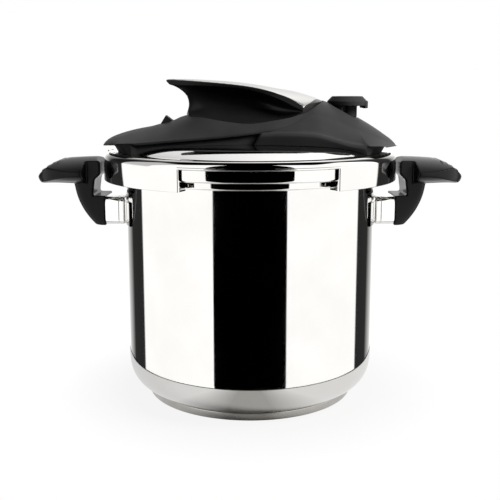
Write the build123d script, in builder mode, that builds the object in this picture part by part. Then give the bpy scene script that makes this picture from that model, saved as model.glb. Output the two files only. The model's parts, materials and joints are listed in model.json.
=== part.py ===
"""Stovetop pressure cooker: a 22 cm steel pot, a bayonet lid and a long black cover with a raised grip.

Millimetres, +Z up. The origin is the centre of the base on the hob. +X runs towards the selector valve.
"""
import os
from math import asin, cos, hypot, radians, sin, sqrt

from build123d import *

os.makedirs("parts", exist_ok=True)

# Pot
pot_bore_radius = 110.0
sheet = 1.0
pot_radius = pot_bore_radius + sheet
cap_sheet = 0.8
core_thickness = 5.2
floor_z = cap_sheet + core_thickness
floor_corner = 26.0
cap_inset = 18.0
cap_radius = pot_radius - cap_inset
cap_lip = 0.5
core_clearance = 0.2
rim_z = 203.0

# Rolled rim and the bayonet lugs on it
bead_reach = 3.5
bead_height = 6.8
bead_radius = pot_radius + bead_reach
lug_reach = 11.4
lug_radius = bead_radius + lug_reach
lug_thickness = 2.6
lug_drop = 6.0
lug_z = rim_z - lug_drop
lug_width = 15.0

# Bayonet ring of the lid
ring_gap = 2.5
ring_radius = lug_radius + ring_gap + sheet
lip_gap = 0.4
lip_sheet = 1.2
ring_bottom_z = lug_z - lip_gap - lip_sheet
lip_clearance = 2.0
lip_radius = bead_radius + lip_clearance
lip_width = 17.0
window_turn = 3.6
window_half = 29.2
window_hoop = 5.8

# Lid dome, land and shoulder
deck_rise = 16.5
deck_z = rim_z + deck_rise
dome_rise = 10.1
apex_z = deck_z + dome_rise
crown_radius = 1190.0
land_width = 12.4
shoulder_radius = 6.4
land_radius = ring_radius - land_width
knuckle_width = 27.0
knuckle_start = land_radius - knuckle_width
channel_gap = 0.4
channel_inset = 7.4
channel_radius = ring_radius - channel_inset
channel_rise = 2.2
channel_bottom_z = rim_z + channel_rise

# Gasket
gasket_gap = 0.3
gasket_wall = 3.0
gasket_lip = 12.6
gasket_flange = 2.4
gasket_height = 14.6

# Side handles, ferrules and brackets
handle_gap = 2.1
handle_root_x = ring_radius + handle_gap
handle_drop = 35.8
handle_z = rim_z - handle_drop
ferrule_half_width = 18.0
ferrule_half_height = 11.6
ferrule_corner = 6.0
ferrule_sheet = 1.0
ferrule_end_x = handle_root_x + 1.0
socket_clearance = 0.2
boss_wall = 1.6
boss_face_x = handle_root_x - 4.0
paddle_half_width = 38.0
paddle_reach = 58.0
paddle_wrap = 100.0
paddle_brow = 2.0
paddle_under_rise = 24.6
paddle_belly_half_width = 31.0
paddle_belly_rise = 27.4
paddle_side_rise = 34.0
paddle_top_rise = 46.5
web_round = 8.0
bracket_sheet = 1.6
bracket_half_angle = 23.0
bracket_half_height = 10.4
post_radius = 7.0
post_end_x = handle_root_x + 2.5
screw_radius = 2.5
screw_fit = 0.05
screw_head_radius = 4.6
screw_head_height = 3.2
screw_head_x = handle_root_x + 8.5
screw_tip_x = pot_radius + 6.0
counterbore_clearance = 0.6

# Cover
cover_half_width = 66.0
crease_half_width = 64.0
cover_clearance = 0.3
wing_radius = ring_radius
wing_underside = 3.0
foot_radius = ring_radius - 14.0
cavity_half_width = 61.0
skirt_recess = 2.4
cover_floor_rise = 23.5
cover_floor_z = deck_z + cover_floor_rise
cavity_top_rise = 19.5
cavity_top_z = deck_z + cavity_top_rise

# Grip and its steel plate
grip_x = 4.0
grip_half_length = 60.0
grip_half_width = 52.0
groove = 0.6
plate_sheet = 1.2
plate_gap = 0.15
beak_rise = 48.0

# Studs, nuts and screws under the grip
stud_pitch_x = 60.0
stud_pitch_y = 15.0
stud_radius = 2.0
stud_clearance = 0.3
stud_boss_radius = 5.5
nut_flat = 7.0
nut_height = 3.2
nut_pocket_radius = 5.2
stud_proud = 1.5
grip_screw_pitch = 84.0
grip_screw_radius = 1.75
grip_screw_head = 3.4
grip_screw_head_height = 2.4
grip_screw_length = 15.0

# Selector valve
valve_inset = 4.0
valve_x = knuckle_start - valve_inset
valve_tube_radius = 6.5
valve_bore_radius = 4.6
valve_pad_radius = 11.5
valve_pad_rise = 0.9
valve_pad_depth = 2.4
valve_flange_radius = 10.0
valve_flange = 2.4
valve_neck_radius = 5.0
valve_neck_clearance = 0.15
valve_top_rise = 36.0
valve_inlet_radius = 1.6
valve_nut_flat = 16.0
valve_nut_height = 4.0
washer_thickness = 1.6
filter_radius = 8.0
filter_height = 7.0
filter_wall = 1.0
filter_hole_count = 6
filter_hole_radius = 1.2
run_fit = 0.06
plunger_height = 8.0
spring_wire = 0.5
spring_turns = 5
spring_gap = 0.1
stem_engagement = 6.0
stem_radius = 2.5
knob_cap_radius = 17.6
knob_top_rise = 47.2
knob_cap_height = 8.2
knob_hub_radius = 8.8
knob_floor_rise = 28.6
knob_floor_gap = 0.4
knob_well_radius = 18.8
knob_edge = 4.2
knob_hook_height = 10.4
hook_thickness = 3.0
hook_reach = 0.8
hook_half_angle = 34.0

# Pressure indicator
indicator_x = -knuckle_start
indicator_y = 17.0
indicator_radius = 2.6
indicator_bush_radius = 4.6
indicator_flange_radius = 7.5
indicator_flange = 1.8
indicator_lift = 4.5
indicator_hole_gap = 0.5
indicator_nut_height = 2.6
indicator_top_rise = 19.4
seal_thickness = 1.2

# Safety valve under the cover
safety_body_radius = 7.0
safety_neck_radius = 5.0
safety_bore_radius = 3.2
safety_ball_radius = 2.6
safety_inlet_radius = 1.8
safety_seat_drop = 5.0
safety_floor = 2.0
safety_cap_height = 2.0

# Lock slider and bolt
lock_inset = 16.0
lock_x = lock_inset - knuckle_start
lock_half_length = 6.6
lock_half_width = 6.0
lock_travel = 4.0
lock_slot_gap = 0.4
bolt_sheet = 1.5
bolt_half_width = 4.0
bolt_gap = 0.5
bolt_slot_gap = 0.3
bolt_rise = 5.6
slider_bottom_rise = 12.4
bolt_bend_offset = 26.0
bolt_drop_offset = 40.0
bolt_screw_radius = 1.4
bolt_screw_length = 5.0
keeper_depth = 4.2

# Heights worked out from the sizes above
valve_seat_z = apex_z - crown_radius + sqrt(crown_radius**2 - valve_x**2) + valve_pad_rise
valve_under_z = valve_seat_z - valve_pad_rise - valve_pad_depth
valve_top_z = deck_z + valve_top_rise
indicator_reach = hypot(indicator_x, indicator_y)
indicator_seat_z = apex_z - crown_radius + sqrt(crown_radius**2 - indicator_reach**2) + valve_pad_rise
indicator_under_z = indicator_seat_z - valve_pad_rise - valve_pad_depth
safety_seat_z = apex_z
safety_under_z = apex_z - sheet - screw_fit
stud_reach = hypot(grip_x - stud_pitch_x / 2, stud_pitch_y / 2) - stud_radius
stud_foot_z = apex_z - crown_radius + sqrt(crown_radius**2 - stud_reach**2)
bolt_leg_x = -(ring_radius - sheet - bolt_gap - bolt_sheet / 2)


def polar(radius, angle):
    """Point at a radius and an angle in degrees."""
    return (radius * cos(radians(angle)), radius * sin(radians(angle)))


def sector(plane, inner, outer, start, end):
    """Ring sector between two radii and two angles, drawn on a plane."""
    with BuildSketch(plane) as face:
        with BuildLine():
            CenterArc((0, 0), inner, start, end - start)
            CenterArc((0, 0), outer, start, end - start)
            Line(polar(inner, start), polar(outer, start))
            Line(polar(inner, end), polar(outer, end))
        make_face()
    return face.sketch


def tube(x, y, bottom, top, outer, inner=0.0):
    """Upright round bar, or tube where an inner radius is given."""
    with BuildSketch(Plane.XY.offset(bottom)) as section:
        with Locations((x, y)):
            Circle(outer)
            if inner > 0:
                Circle(inner, mode=Mode.SUBTRACT)
    extrude(section.sketch, amount=top - bottom)


def hole(x, y, bottom, top, radius):
    """Upright round hole."""
    with BuildSketch(Plane.XY.offset(bottom)) as section:
        with Locations((x, y)):
            Circle(radius)
    extrude(section.sketch, amount=top - bottom, mode=Mode.SUBTRACT)


def lid_plug(rise, inset, bottom, mode):
    """Solid of revolution under the lid's outer surface, raised and drawn in by the given amounts."""
    knuckle_z = apex_z - crown_radius + sqrt(crown_radius**2 - knuckle_start**2) + rise
    slope = asin(knuckle_start / crown_radius)
    mid_z = apex_z - crown_radius + sqrt(crown_radius**2 - knuckle_start**2 / 4) + rise
    edge = ring_radius - inset
    corner = shoulder_radius - inset
    with BuildSketch(Plane.XZ) as profile:
        with BuildLine():
            ThreePointArc((0, apex_z + rise), (knuckle_start / 2, mid_z), (knuckle_start, knuckle_z))
            TangentArc(
                (knuckle_start, knuckle_z),
                (land_radius, deck_z + rise),
                tangent=(cos(slope), -sin(slope)),
            )
            Polyline(
                (land_radius, deck_z + rise),
                (edge, deck_z + rise),
                (edge, bottom),
                (0, bottom),
                (0, apex_z + rise),
            )
        make_face()
        shoulder = profile.vertices().sort_by_distance((edge, deck_z + rise))[0]
        fillet(shoulder, radius=corner)
    revolve(profile.sketch, axis=Axis.Z, mode=mode)


# Pot body: shell, rolled rim and lugs
lug_angles = [0.0, 180.0]
lug_angles += [270 + window_turn + side * (window_half + lip_width / 2) for side in (-1, 1)]
lug_angles += [90 + window_turn + side * (window_half + lip_width / 2) for side in (-1, 1)]

with BuildPart() as pot_body:
    with BuildSketch(Plane.XZ) as pot_outside:
        with BuildLine():
            Polyline((0, floor_z), (pot_radius, floor_z), (pot_radius, rim_z), (0, rim_z), close=True)
        make_face()
        fillet(pot_outside.vertices().sort_by_distance((pot_radius, floor_z))[0], radius=floor_corner)
    revolve(axis=Axis.Z)
    with BuildSketch(Plane.XZ) as bead:
        with BuildLine():
            Polyline(
                (pot_bore_radius, rim_z - bead_height),
                (bead_radius, rim_z - bead_height),
                (bead_radius, rim_z),
                (pot_bore_radius, rim_z),
                close=True,
            )
        make_face()
        fillet(bead.vertices().group_by(Axis.X)[-1], radius=bead_reach / 2)
    revolve(axis=Axis.Z)
    for angle in lug_angles:
        lug_start = angle - lug_width / 2
        lug = sector(Plane.XY.offset(lug_z), pot_bore_radius, lug_radius, lug_start, lug_start + lug_width)
        extrude(lug, amount=lug_thickness)
    with BuildSketch(Plane.XZ) as pot_inside:
        with BuildLine():
            Polyline(
                (0, floor_z + sheet),
                (pot_bore_radius, floor_z + sheet),
                (pot_bore_radius, rim_z + sheet),
                (0, rim_z + sheet),
                close=True,
            )
        make_face()
        inside_corner = pot_inside.vertices().sort_by_distance((pot_bore_radius, floor_z + sheet))[0]
        fillet(inside_corner, radius=floor_corner - sheet)
    revolve(axis=Axis.Z, mode=Mode.SUBTRACT)
    # Notch in the left lug, where the bolt drops in
    with BuildSketch(Plane.XY.offset(lug_z - sheet)):
        with Locations((-lug_radius, 0)):
            Rectangle(2 * keeper_depth, 2 * (bolt_half_width + bolt_gap))
    extrude(amount=lug_thickness + 2 * sheet, mode=Mode.SUBTRACT)

with BuildPart() as heat_core:
    tube(0, 0, cap_sheet, floor_z, cap_radius - cap_sheet - core_clearance)

with BuildPart() as base_cap:
    tube(0, 0, 0, floor_z + cap_lip, cap_radius)
    fillet(base_cap.edges().group_by(Axis.Z)[0], radius=cap_sheet * 2)
    hole(0, 0, cap_sheet, floor_z + cap_lip, cap_radius - cap_sheet)

# Side handles: bracket, ferrule, handle and screw on the right, then mirrored to the left
def flat_oblong(plane, half_width, half_height, corner):
    """Rounded rectangle across the handle's axis."""
    with BuildSketch(plane) as section:
        with Locations((0, handle_z)):
            RectangleRounded(2 * half_width, 2 * half_height, corner)
    return section.sketch


with BuildPart() as bracket_right:
    plate = sector(
        Plane.XY.offset(handle_z - bracket_half_height),
        pot_radius + screw_fit,
        pot_radius + bracket_sheet,
        -bracket_half_angle,
        bracket_half_angle,
    )
    extrude(plate, amount=2 * bracket_half_height)
    with BuildSketch(Plane.YZ.offset(pot_radius + bracket_sheet / 2)):
        with Locations((0, handle_z)):
            Circle(post_radius)
    extrude(amount=post_end_x - pot_radius - bracket_sheet / 2)
    with BuildSketch(Plane.YZ.offset(screw_tip_x - sheet)):
        with Locations((0, handle_z)):
            Circle(screw_radius + screw_fit)
    extrude(amount=post_end_x, mode=Mode.SUBTRACT)

with BuildPart() as ferrule_right:
    inner_end = Plane.YZ.offset(pot_radius - floor_corner)
    sleeve = flat_oblong(inner_end, ferrule_half_width, ferrule_half_height, ferrule_corner)
    extrude(sleeve, amount=ferrule_end_x - pot_radius + floor_corner)
    sleeve_inside = flat_oblong(
        inner_end,
        ferrule_half_width - ferrule_sheet,
        ferrule_half_height - ferrule_sheet,
        ferrule_corner - ferrule_sheet,
    )
    extrude(sleeve_inside, amount=ferrule_end_x, mode=Mode.SUBTRACT)
    tube_clear = pot_radius + bracket_sheet + socket_clearance
    with BuildSketch(Plane.XY.offset(handle_z - 2 * ferrule_half_height)):
        Circle(tube_clear)
    extrude(amount=4 * ferrule_half_height, mode=Mode.SUBTRACT)

with BuildPart() as side_handle_right:
    with BuildSketch(Plane.XZ):
        with BuildLine():
            Polyline(
                (boss_face_x, handle_z + ferrule_half_height + boss_wall),
                (handle_root_x + 6.9, handle_z + ferrule_half_height + boss_wall),
                (handle_root_x + 5.0, handle_z + 27.5),
                (handle_root_x, handle_z + 32.0),
                (handle_root_x, handle_z + 42.8),
                (handle_root_x + 5.0, handle_z + 46.5),
                (handle_root_x + 25.5, handle_z + 46.5),
            )
            ThreePointArc(
                (handle_root_x + 25.5, handle_z + 46.5),
                (handle_root_x + 46.0, handle_z + 40.6),
                (handle_root_x + paddle_reach, handle_z + 28.5),
            )
            ThreePointArc(
                (handle_root_x + paddle_reach, handle_z + 28.5),
                (handle_root_x + 57.4, handle_z + 24.4),
                (handle_root_x + 53.4, handle_z + 23.2),
            )
            Line((handle_root_x + 53.4, handle_z + 23.2), (handle_root_x + 24.4, handle_z + 23.6))
            ThreePointArc(
                (handle_root_x + 24.4, handle_z + 23.6),
                (handle_root_x + 18.6, handle_z + 4.0),
                (handle_root_x + 6.0, handle_z - ferrule_half_height - boss_wall),
            )
            Polyline(
                (handle_root_x + 6.0, handle_z - ferrule_half_height - boss_wall),
                (boss_face_x, handle_z - ferrule_half_height - boss_wall),
                (boss_face_x, handle_z + ferrule_half_height + boss_wall),
            )
        make_face()
    brow_half = paddle_half_width + paddle_brow
    extrude(amount=brow_half, both=True)
    # Plan: a narrow boss and web with a round paddle
    paddle_tip_x = handle_root_x + paddle_reach
    paddle_x = paddle_tip_x - paddle_half_width
    neck_x = paddle_x + paddle_half_width * cos(radians(paddle_wrap))
    neck_half = paddle_half_width * sin(radians(paddle_wrap))
    boss_half = ferrule_half_width + boss_wall
    with BuildSketch(Plane.XY.offset(handle_z - 2 * ferrule_half_height)):
        with BuildLine():
            ThreePointArc((neck_x, -neck_half), (paddle_tip_x, 0), (neck_x, neck_half))
            Polyline(
                (neck_x, neck_half),
                (neck_x - sheet, boss_half),
                (boss_face_x, boss_half),
                (boss_face_x, -boss_half),
                (neck_x - sheet, -boss_half),
                (neck_x, -neck_half),
            )
        make_face()
    extrude(amount=6 * ferrule_half_height, mode=Mode.INTERSECT)
    # End view: the boss and web below, the crowned paddle with its rounded underside above
    boss_bottom_z = handle_z - ferrule_half_height - boss_wall
    with BuildSketch(Plane.YZ.offset(boss_face_x)):
        with BuildLine():
            ThreePointArc(
                (-brow_half, handle_z + paddle_side_rise),
                (0, handle_z + paddle_top_rise),
                (brow_half, handle_z + paddle_side_rise),
            )
            for side in (-1, 1):
                ThreePointArc(
                    (side * brow_half, handle_z + paddle_side_rise),
                    (side * paddle_belly_half_width, handle_z + paddle_belly_rise),
                    (side * boss_half, handle_z + paddle_under_rise),
                )
                Line((side * boss_half, handle_z + paddle_under_rise), (side * boss_half, boss_bottom_z))
            Line((-boss_half, boss_bottom_z), (boss_half, boss_bottom_z))
        make_face()
    extrude(amount=paddle_tip_x + paddle_brow - boss_face_x, mode=Mode.INTERSECT)
    # Rounded outer edges of the web
    web_edges = side_handle_right.edges().filter_by(GeomType.CIRCLE).filter_by(
        lambda edge: abs(abs(edge.center().Y) - boss_half) < screw_fit
    )
    fillet(web_edges, radius=web_round)
    # Socket for the ferrule, room for the post, and the screw's counterbore
    socket = flat_oblong(
        Plane.YZ.offset(boss_face_x),
        ferrule_half_width + socket_clearance,
        ferrule_half_height + socket_clearance,
        ferrule_corner + socket_clearance,
    )
    extrude(socket, amount=ferrule_end_x + socket_clearance - boss_face_x, mode=Mode.SUBTRACT)
    with BuildSketch(Plane.YZ.offset(boss_face_x)):
        with Locations((0, handle_z)):
            Circle(post_radius + socket_clearance)
    extrude(amount=post_end_x + socket_clearance - boss_face_x, mode=Mode.SUBTRACT)
    with BuildSketch(Plane.YZ.offset(boss_face_x)):
        with Locations((0, handle_z)):
            Circle(screw_radius + screw_fit)
    extrude(amount=paddle_reach, mode=Mode.SUBTRACT)
    with BuildSketch(Plane.YZ.offset(screw_head_x)):
        with Locations((0, handle_z)):
            Circle(screw_head_radius + counterbore_clearance)
    extrude(amount=paddle_reach, mode=Mode.SUBTRACT)

with BuildPart() as handle_screw_right:
    with BuildSketch(Plane.YZ.offset(screw_tip_x)):
        with Locations((0, handle_z)):
            Circle(screw_radius)
    extrude(amount=screw_head_x - screw_tip_x)
    with BuildSketch(Plane.YZ.offset(screw_head_x)):
        with Locations((0, handle_z)):
            Circle(screw_head_radius)
            Rectangle(2 * screw_radius, sheet, mode=Mode.SUBTRACT)
            Rectangle(sheet, 2 * screw_radius, mode=Mode.SUBTRACT)
    extrude(amount=screw_head_height)

with BuildPart() as bracket_left:
    mirror(bracket_right.part, about=Plane.YZ)

with BuildPart() as ferrule_left:
    mirror(ferrule_right.part, about=Plane.YZ)

with BuildPart() as side_handle_left:
    mirror(side_handle_right.part, about=Plane.YZ)

with BuildPart() as handle_screw_left:
    mirror(handle_screw_right.part, about=Plane.YZ)

# Lid shell: dome, land, bayonet ring with lips and windows, and the gasket's channel wall
lip_half = lip_width / 2
window_angles = (90.0 + window_turn, 270.0 + window_turn)

with BuildPart() as lid_shell:
    lid_plug(0, 0, ring_bottom_z, Mode.ADD)
    lid_plug(-sheet, sheet, ring_bottom_z + lip_sheet, Mode.SUBTRACT)
    hole(0, 0, ring_bottom_z, ring_bottom_z + lip_sheet, lip_radius)
    lip_starts = sorted((angle - lip_half) % 360 for angle in lug_angles)
    for index, start in enumerate(lip_starts):
        following = lip_starts[(index + 1) % len(lip_starts)]
        gap_end = following + 360 if following < start else following
        lip_plane = Plane.XY.offset(ring_bottom_z)
        gap = sector(lip_plane, lip_radius - sheet, ring_radius - sheet, start + lip_width, gap_end)
        extrude(gap, amount=lip_sheet, mode=Mode.SUBTRACT)
    tube(0, 0, channel_bottom_z, deck_z - sheet / 2, channel_radius, channel_radius - sheet)
    for angle in window_angles:
        window = sector(
            Plane.XY.offset(ring_bottom_z - sheet),
            channel_radius + channel_gap,
            ring_radius + sheet,
            angle - window_half,
            angle + window_half,
        )
        extrude(window, amount=deck_z - window_hoop - ring_bottom_z + sheet, mode=Mode.SUBTRACT)
    tube(valve_x, 0, valve_under_z, valve_seat_z, valve_pad_radius)
    tube(indicator_x, indicator_y, indicator_under_z, indicator_seat_z, indicator_flange_radius + sheet)
    hole(valve_x, 0, valve_under_z, valve_seat_z, valve_neck_radius + valve_neck_clearance)
    hole(
        indicator_x,
        indicator_y,
        indicator_under_z,
        indicator_seat_z,
        indicator_bush_radius + valve_neck_clearance,
    )
    hole(0, 0, apex_z - 2 * sheet, apex_z + sheet, safety_neck_radius + valve_neck_clearance)
    # Slot in the land, where the bolt passes
    with BuildSketch(Plane.XY.offset(deck_z - shoulder_radius)):
        with Locations((bolt_leg_x + lock_travel / 2, 0)):
            Rectangle(lock_travel + bolt_sheet + 2 * bolt_slot_gap, 2 * (bolt_half_width + bolt_gap))
    extrude(amount=2 * shoulder_radius, mode=Mode.SUBTRACT)

gasket_radius = channel_radius - sheet - gasket_gap
gasket_z = rim_z + gasket_gap
with BuildPart() as gasket:
    with BuildSketch(Plane.XZ):
        with BuildLine():
            Polyline(
                (gasket_radius, gasket_z),
                (gasket_radius, gasket_z + gasket_height),
                (gasket_radius - gasket_lip / 2, gasket_z + gasket_height),
                (gasket_radius - gasket_lip / 2, gasket_z + gasket_height - gasket_flange),
                (gasket_radius - gasket_wall, gasket_z + gasket_height - gasket_flange),
                (gasket_radius - gasket_wall, gasket_z + gasket_flange),
                (gasket_radius - gasket_lip, gasket_z + gasket_flange),
                (gasket_radius - gasket_lip, gasket_z),
                close=True,
            )
        make_face()
    revolve(axis=Axis.Z)

# Cover: stations along X with the heights of its crest and its crease above the lid's land
hood_stations = (
    (-wing_radius - 6.6, 18.5, 9.0),
    (-wing_radius + 24.4, 19.6, 9.5),
    (-wing_radius + 50.4, 22.6, 11.5),
    (grip_x - grip_half_length + 1.0, 30.6, 13.8),
    (0.0, 37.5, 18.5),
    (40.0, 42.4, 20.0),
    (grip_x + grip_half_length, 43.3, 17.6),
    (valve_x - 2.0, 34.6, 12.4),
    (wing_radius - 25.4, 23.4, 7.6),
    (wing_radius + 6.6, 0.6, -3.0),
)
cavity_stations = (
    (-wing_radius + 8.0, 8.0, 4.5),
    (-wing_radius + 24.4, 14.8, 6.0),
    (-wing_radius + 50.4, 18.4, 8.0),
    (-50.0, cavity_top_rise, 10.0),
    (0.0, cavity_top_rise, 14.0),
    (50.0, cavity_top_rise, 14.5),
    (valve_x - 2.0, 20.5, 9.0),
    (wing_radius - 25.4, 15.0, 4.8),
    (wing_radius - 8.0, 5.5, 1.5),
)
hood_base = 8.0


def arch(x, crest, crease, half, foot_half):
    """Section across the cover: an arched top on near-upright sides."""
    with BuildSketch(Plane.YZ.offset(x)) as section:
        with BuildLine():
            ThreePointArc((-half, deck_z + crease), (0, deck_z + crest), (half, deck_z + crease))
            Polyline(
                (half, deck_z + crease),
                (foot_half, deck_z - hood_base),
                (-foot_half, deck_z - hood_base),
                (-half, deck_z + crease),
            )
        make_face()
    return section.sketch


hood_faces = [
    arch(x, crest, crease, crease_half_width, cover_half_width)
    for x, crest, crease in hood_stations
]
cavity_faces = [
    arch(x, crest, crease, cavity_half_width, cavity_half_width)
    for x, crest, crease in cavity_stations
]
stud_places = [(grip_x + i * stud_pitch_x / 2, j * stud_pitch_y / 2) for i in (-1, 1) for j in (-1, 1)]
screw_places = [(grip_x + i * grip_screw_pitch / 2, 0.0) for i in (-1, 1)]

with BuildPart() as lid_cover:
    loft(hood_faces)
    # Rounded wing ends that follow the lid's circle
    with BuildSketch(Plane.XZ):
        with BuildLine():
            Spline(
                (wing_radius, deck_z + 3.4),
                (wing_radius - 2.0, deck_z + 8.6),
                (wing_radius - 6.4, deck_z + 13.2),
                (wing_radius - 12.8, deck_z + 16.8),
                (wing_radius - 20.0, deck_z + 20.0),
                (wing_radius - 30.0, deck_z + 26.4),
                (wing_radius - 70.0, deck_z + 52.0),
            )
            Polyline(
                (wing_radius - 70.0, deck_z + 52.0),
                (0, deck_z + 60.0),
                (0, deck_z - hood_base),
                (wing_radius, deck_z - hood_base),
                (wing_radius, deck_z + 3.4),
            )
        make_face()
    revolve(axis=Axis.Z, mode=Mode.INTERSECT)
    loft(cavity_faces, mode=Mode.SUBTRACT)
    for x, y in stud_places + screw_places:
        tube(x, y, deck_z, cavity_top_z + sheet, stud_boss_radius)
    tube(valve_x, 0, deck_z, deck_z + knob_floor_rise - sheet, valve_tube_radius + stud_boss_radius)
    lid_plug(cover_clearance, -cover_clearance, deck_z - 2 * hood_base, Mode.SUBTRACT)
    with BuildSketch(Plane.XY.offset(deck_z - hood_base)):
        Circle(wing_radius + sheet)
        Circle(foot_radius, mode=Mode.SUBTRACT)
    extrude(amount=hood_base + wing_underside, mode=Mode.SUBTRACT)
    # Room for the raised seats pressed into the lid
    hole(valve_x, 0, deck_z, valve_seat_z + valve_flange + cover_clearance, valve_pad_radius + groove)
    indicator_room = indicator_flange_radius + sheet + groove
    hole(indicator_x, indicator_y, deck_z, indicator_seat_z + cover_clearance, indicator_room)
    # Oval pocket for the grip, round well for the knob
    with BuildSketch(Plane.XY.offset(cover_floor_z)):
        with Locations((grip_x, 0)):
            Ellipse(grip_half_length + groove, grip_half_width + groove)
    extrude(amount=deck_z, mode=Mode.SUBTRACT)
    hole(valve_x, 0, deck_z + knob_floor_rise, 2 * deck_z, knob_well_radius)
    hole(valve_x, 0, deck_z, 2 * deck_z, valve_tube_radius + groove)
    hole(indicator_x, indicator_y, deck_z, 2 * deck_z, indicator_radius + indicator_hole_gap)
    for x, y in stud_places:
        hole(x, y, deck_z, cover_floor_z, stud_radius + stud_clearance)
    for x, y in screw_places:
        hole(x, y, deck_z, cover_floor_z, grip_screw_radius + screw_fit)
        hole(x, y, deck_z, cavity_top_z, grip_screw_head + stud_clearance)
    # Slot for the slider and the groove that its bolt runs in
    with BuildSketch(Plane.XY.offset(deck_z)):
        with Locations((lock_x + lock_travel / 2, 0)):
            Rectangle(
                2 * lock_half_length + lock_travel + 2 * lock_slot_gap,
                2 * (lock_half_width + lock_slot_gap),
            )
    extrude(amount=deck_z, mode=Mode.SUBTRACT)
    with BuildSketch(Plane.XY.offset(deck_z)):
        with Locations((bolt_leg_x - bolt_sheet / 2 - bolt_slot_gap, 0)):
            bolt_way = 2 * (bolt_half_width + bolt_gap)
            Rectangle(-lock_x / 2, bolt_way, align=(Align.MIN, Align.CENTER))
    extrude(amount=bolt_rise + bolt_sheet + bolt_gap, mode=Mode.SUBTRACT)
    # Skirt set back below the crease on the left half, front and back
    for side in (-1, 1):
        with BuildSketch(Plane.XZ.offset(side * (crease_half_width - skirt_recess))):
            with BuildLine():
                Polyline(
                    (-wing_radius, deck_z - hood_base),
                    (-wing_radius, deck_z + 8.0),
                    (-95.0, deck_z + 9.6),
                    (-64.0, deck_z + 12.0),
                    (-39.0, deck_z + 14.2),
                    (2.7, deck_z + 18.2),
                    (9.0, deck_z + 18.2),
                    (3.0, deck_z + 8.0),
                    (1.0, deck_z - hood_base),
                    close=True,
                )
            make_face()
        extrude(amount=side * cover_half_width, mode=Mode.SUBTRACT)

# Grip: crowned top, beak at the left, hollowed on both sides
crown_stations = (
    (-78.0, 61.4),
    (-66.0, 62.1),
    (-34.0, 61.2),
    (-8.0, 59.2),
    (20.0, 54.9),
    (44.0, 49.4),
    (66.0, 42.4),
)
crown_half = 54.0
crown_drop = 21.4


def crown(x, top, lowered):
    """Section under the grip's crowned top."""
    with BuildSketch(Plane.YZ.offset(x)) as section:
        with BuildLine():
            crown_z = deck_z + top - lowered
            ThreePointArc(
                (-crown_half, crown_z - crown_drop),
                (0, crown_z),
                (crown_half, crown_z - crown_drop),
            )
            Polyline(
                (crown_half, crown_z - crown_drop),
                (crown_half, deck_z),
                (-crown_half, deck_z),
                (-crown_half, crown_z - crown_drop),
            )
        make_face()
    return section.sketch


# Hollow stations: x, half-width and height of the canopy's edge, then of the waist and of the base rim
hollow_stations = (
    (-80.0, 3.0, 59.0, 2.6, 46.0, 40.0, 27.0),
    (-66.0, 12.5, 57.6, 10.5, 45.0, 40.0, 28.0),
    (-50.0, 16.5, 56.6, 12.0, 43.6, 22.6, 31.0),
    (-35.0, 18.5, 56.0, 12.5, 42.6, 39.3, 29.0),
    (-8.0, 21.0, 53.9, 13.0, 40.6, 50.6, 26.4),
    (18.0, 25.5, 47.5, 17.0, 37.6, 50.2, 27.0),
    (34.0, 32.0, 40.2, 27.0, 35.0, 44.6, 30.2),
    (45.0, 39.4, 34.8, 38.9, 34.3, 39.5, 33.8),
)


def hollow(side, x, edge, edge_rise, waist, waist_rise, rim, rim_rise):
    """Section of the space beside the grip, a curve from the canopy's edge to the base rim."""
    with BuildSketch(Plane.YZ.offset(x)) as section:
        with BuildLine():
            Line((side * edge, 2 * deck_z), (side * edge, deck_z + edge_rise))
            Spline(
                (side * edge, deck_z + edge_rise),
                (side * waist, deck_z + waist_rise),
                (side * (waist + 0.35 * (rim - waist)), deck_z + rim_rise + 0.2 * (waist_rise - rim_rise)),
                (side * rim, deck_z + rim_rise),
            )
            Polyline(
                (side * rim, deck_z + rim_rise),
                (side * 2 * crown_half, deck_z + rim_rise),
                (side * 2 * crown_half, 2 * deck_z),
                (side * edge, 2 * deck_z),
            )
        make_face()
    return section.sketch


# Steel plate in plan: tip, half-widths along X, then the corner where the round end starts
leaf_tip_x = -68.0
leaf_stations = ((-60.0, 9.5), (-35.0, 16.0), (-8.0, 18.6), (18.0, 23.0), (32.0, 28.6))
leaf_corner_x = 41.0
leaf_corner_half = 35.0
leaf_end_x = 58.5


def plate_outline(gap):
    """Leaf shape of the steel plate in plan, widened by a gap."""
    with BuildSketch(Plane.XY.offset(deck_z)) as leaf:
        with BuildLine():
            for side in (-1, 1):
                flank = [(x, side * (half + gap)) for x, half in leaf_stations]
                corner = (leaf_corner_x, side * (leaf_corner_half + gap))
                Spline((leaf_tip_x - gap, 0), *flank, corner, tangents=((0, side), (1, 0.75 * side)))
            ThreePointArc(
                (leaf_corner_x, -leaf_corner_half - gap),
                (leaf_end_x + gap, 0),
                (leaf_corner_x, leaf_corner_half + gap),
            )
        make_face()
    return leaf.sketch


crown_faces = [crown(x, top, 0.0) for x, top in crown_stations]
under_plate_faces = [crown(x, top, plate_sheet) for x, top in crown_stations]

with BuildPart() as under_plate:
    loft(under_plate_faces)

with BuildPart() as plate_pocket:
    extrude(plate_outline(plate_gap), amount=deck_z)
    add(under_plate.part, mode=Mode.SUBTRACT)

with BuildPart() as grip_plate:
    extrude(plate_outline(0.0), amount=deck_z)
    loft(crown_faces, mode=Mode.INTERSECT)
    add(under_plate.part, mode=Mode.SUBTRACT)

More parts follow.
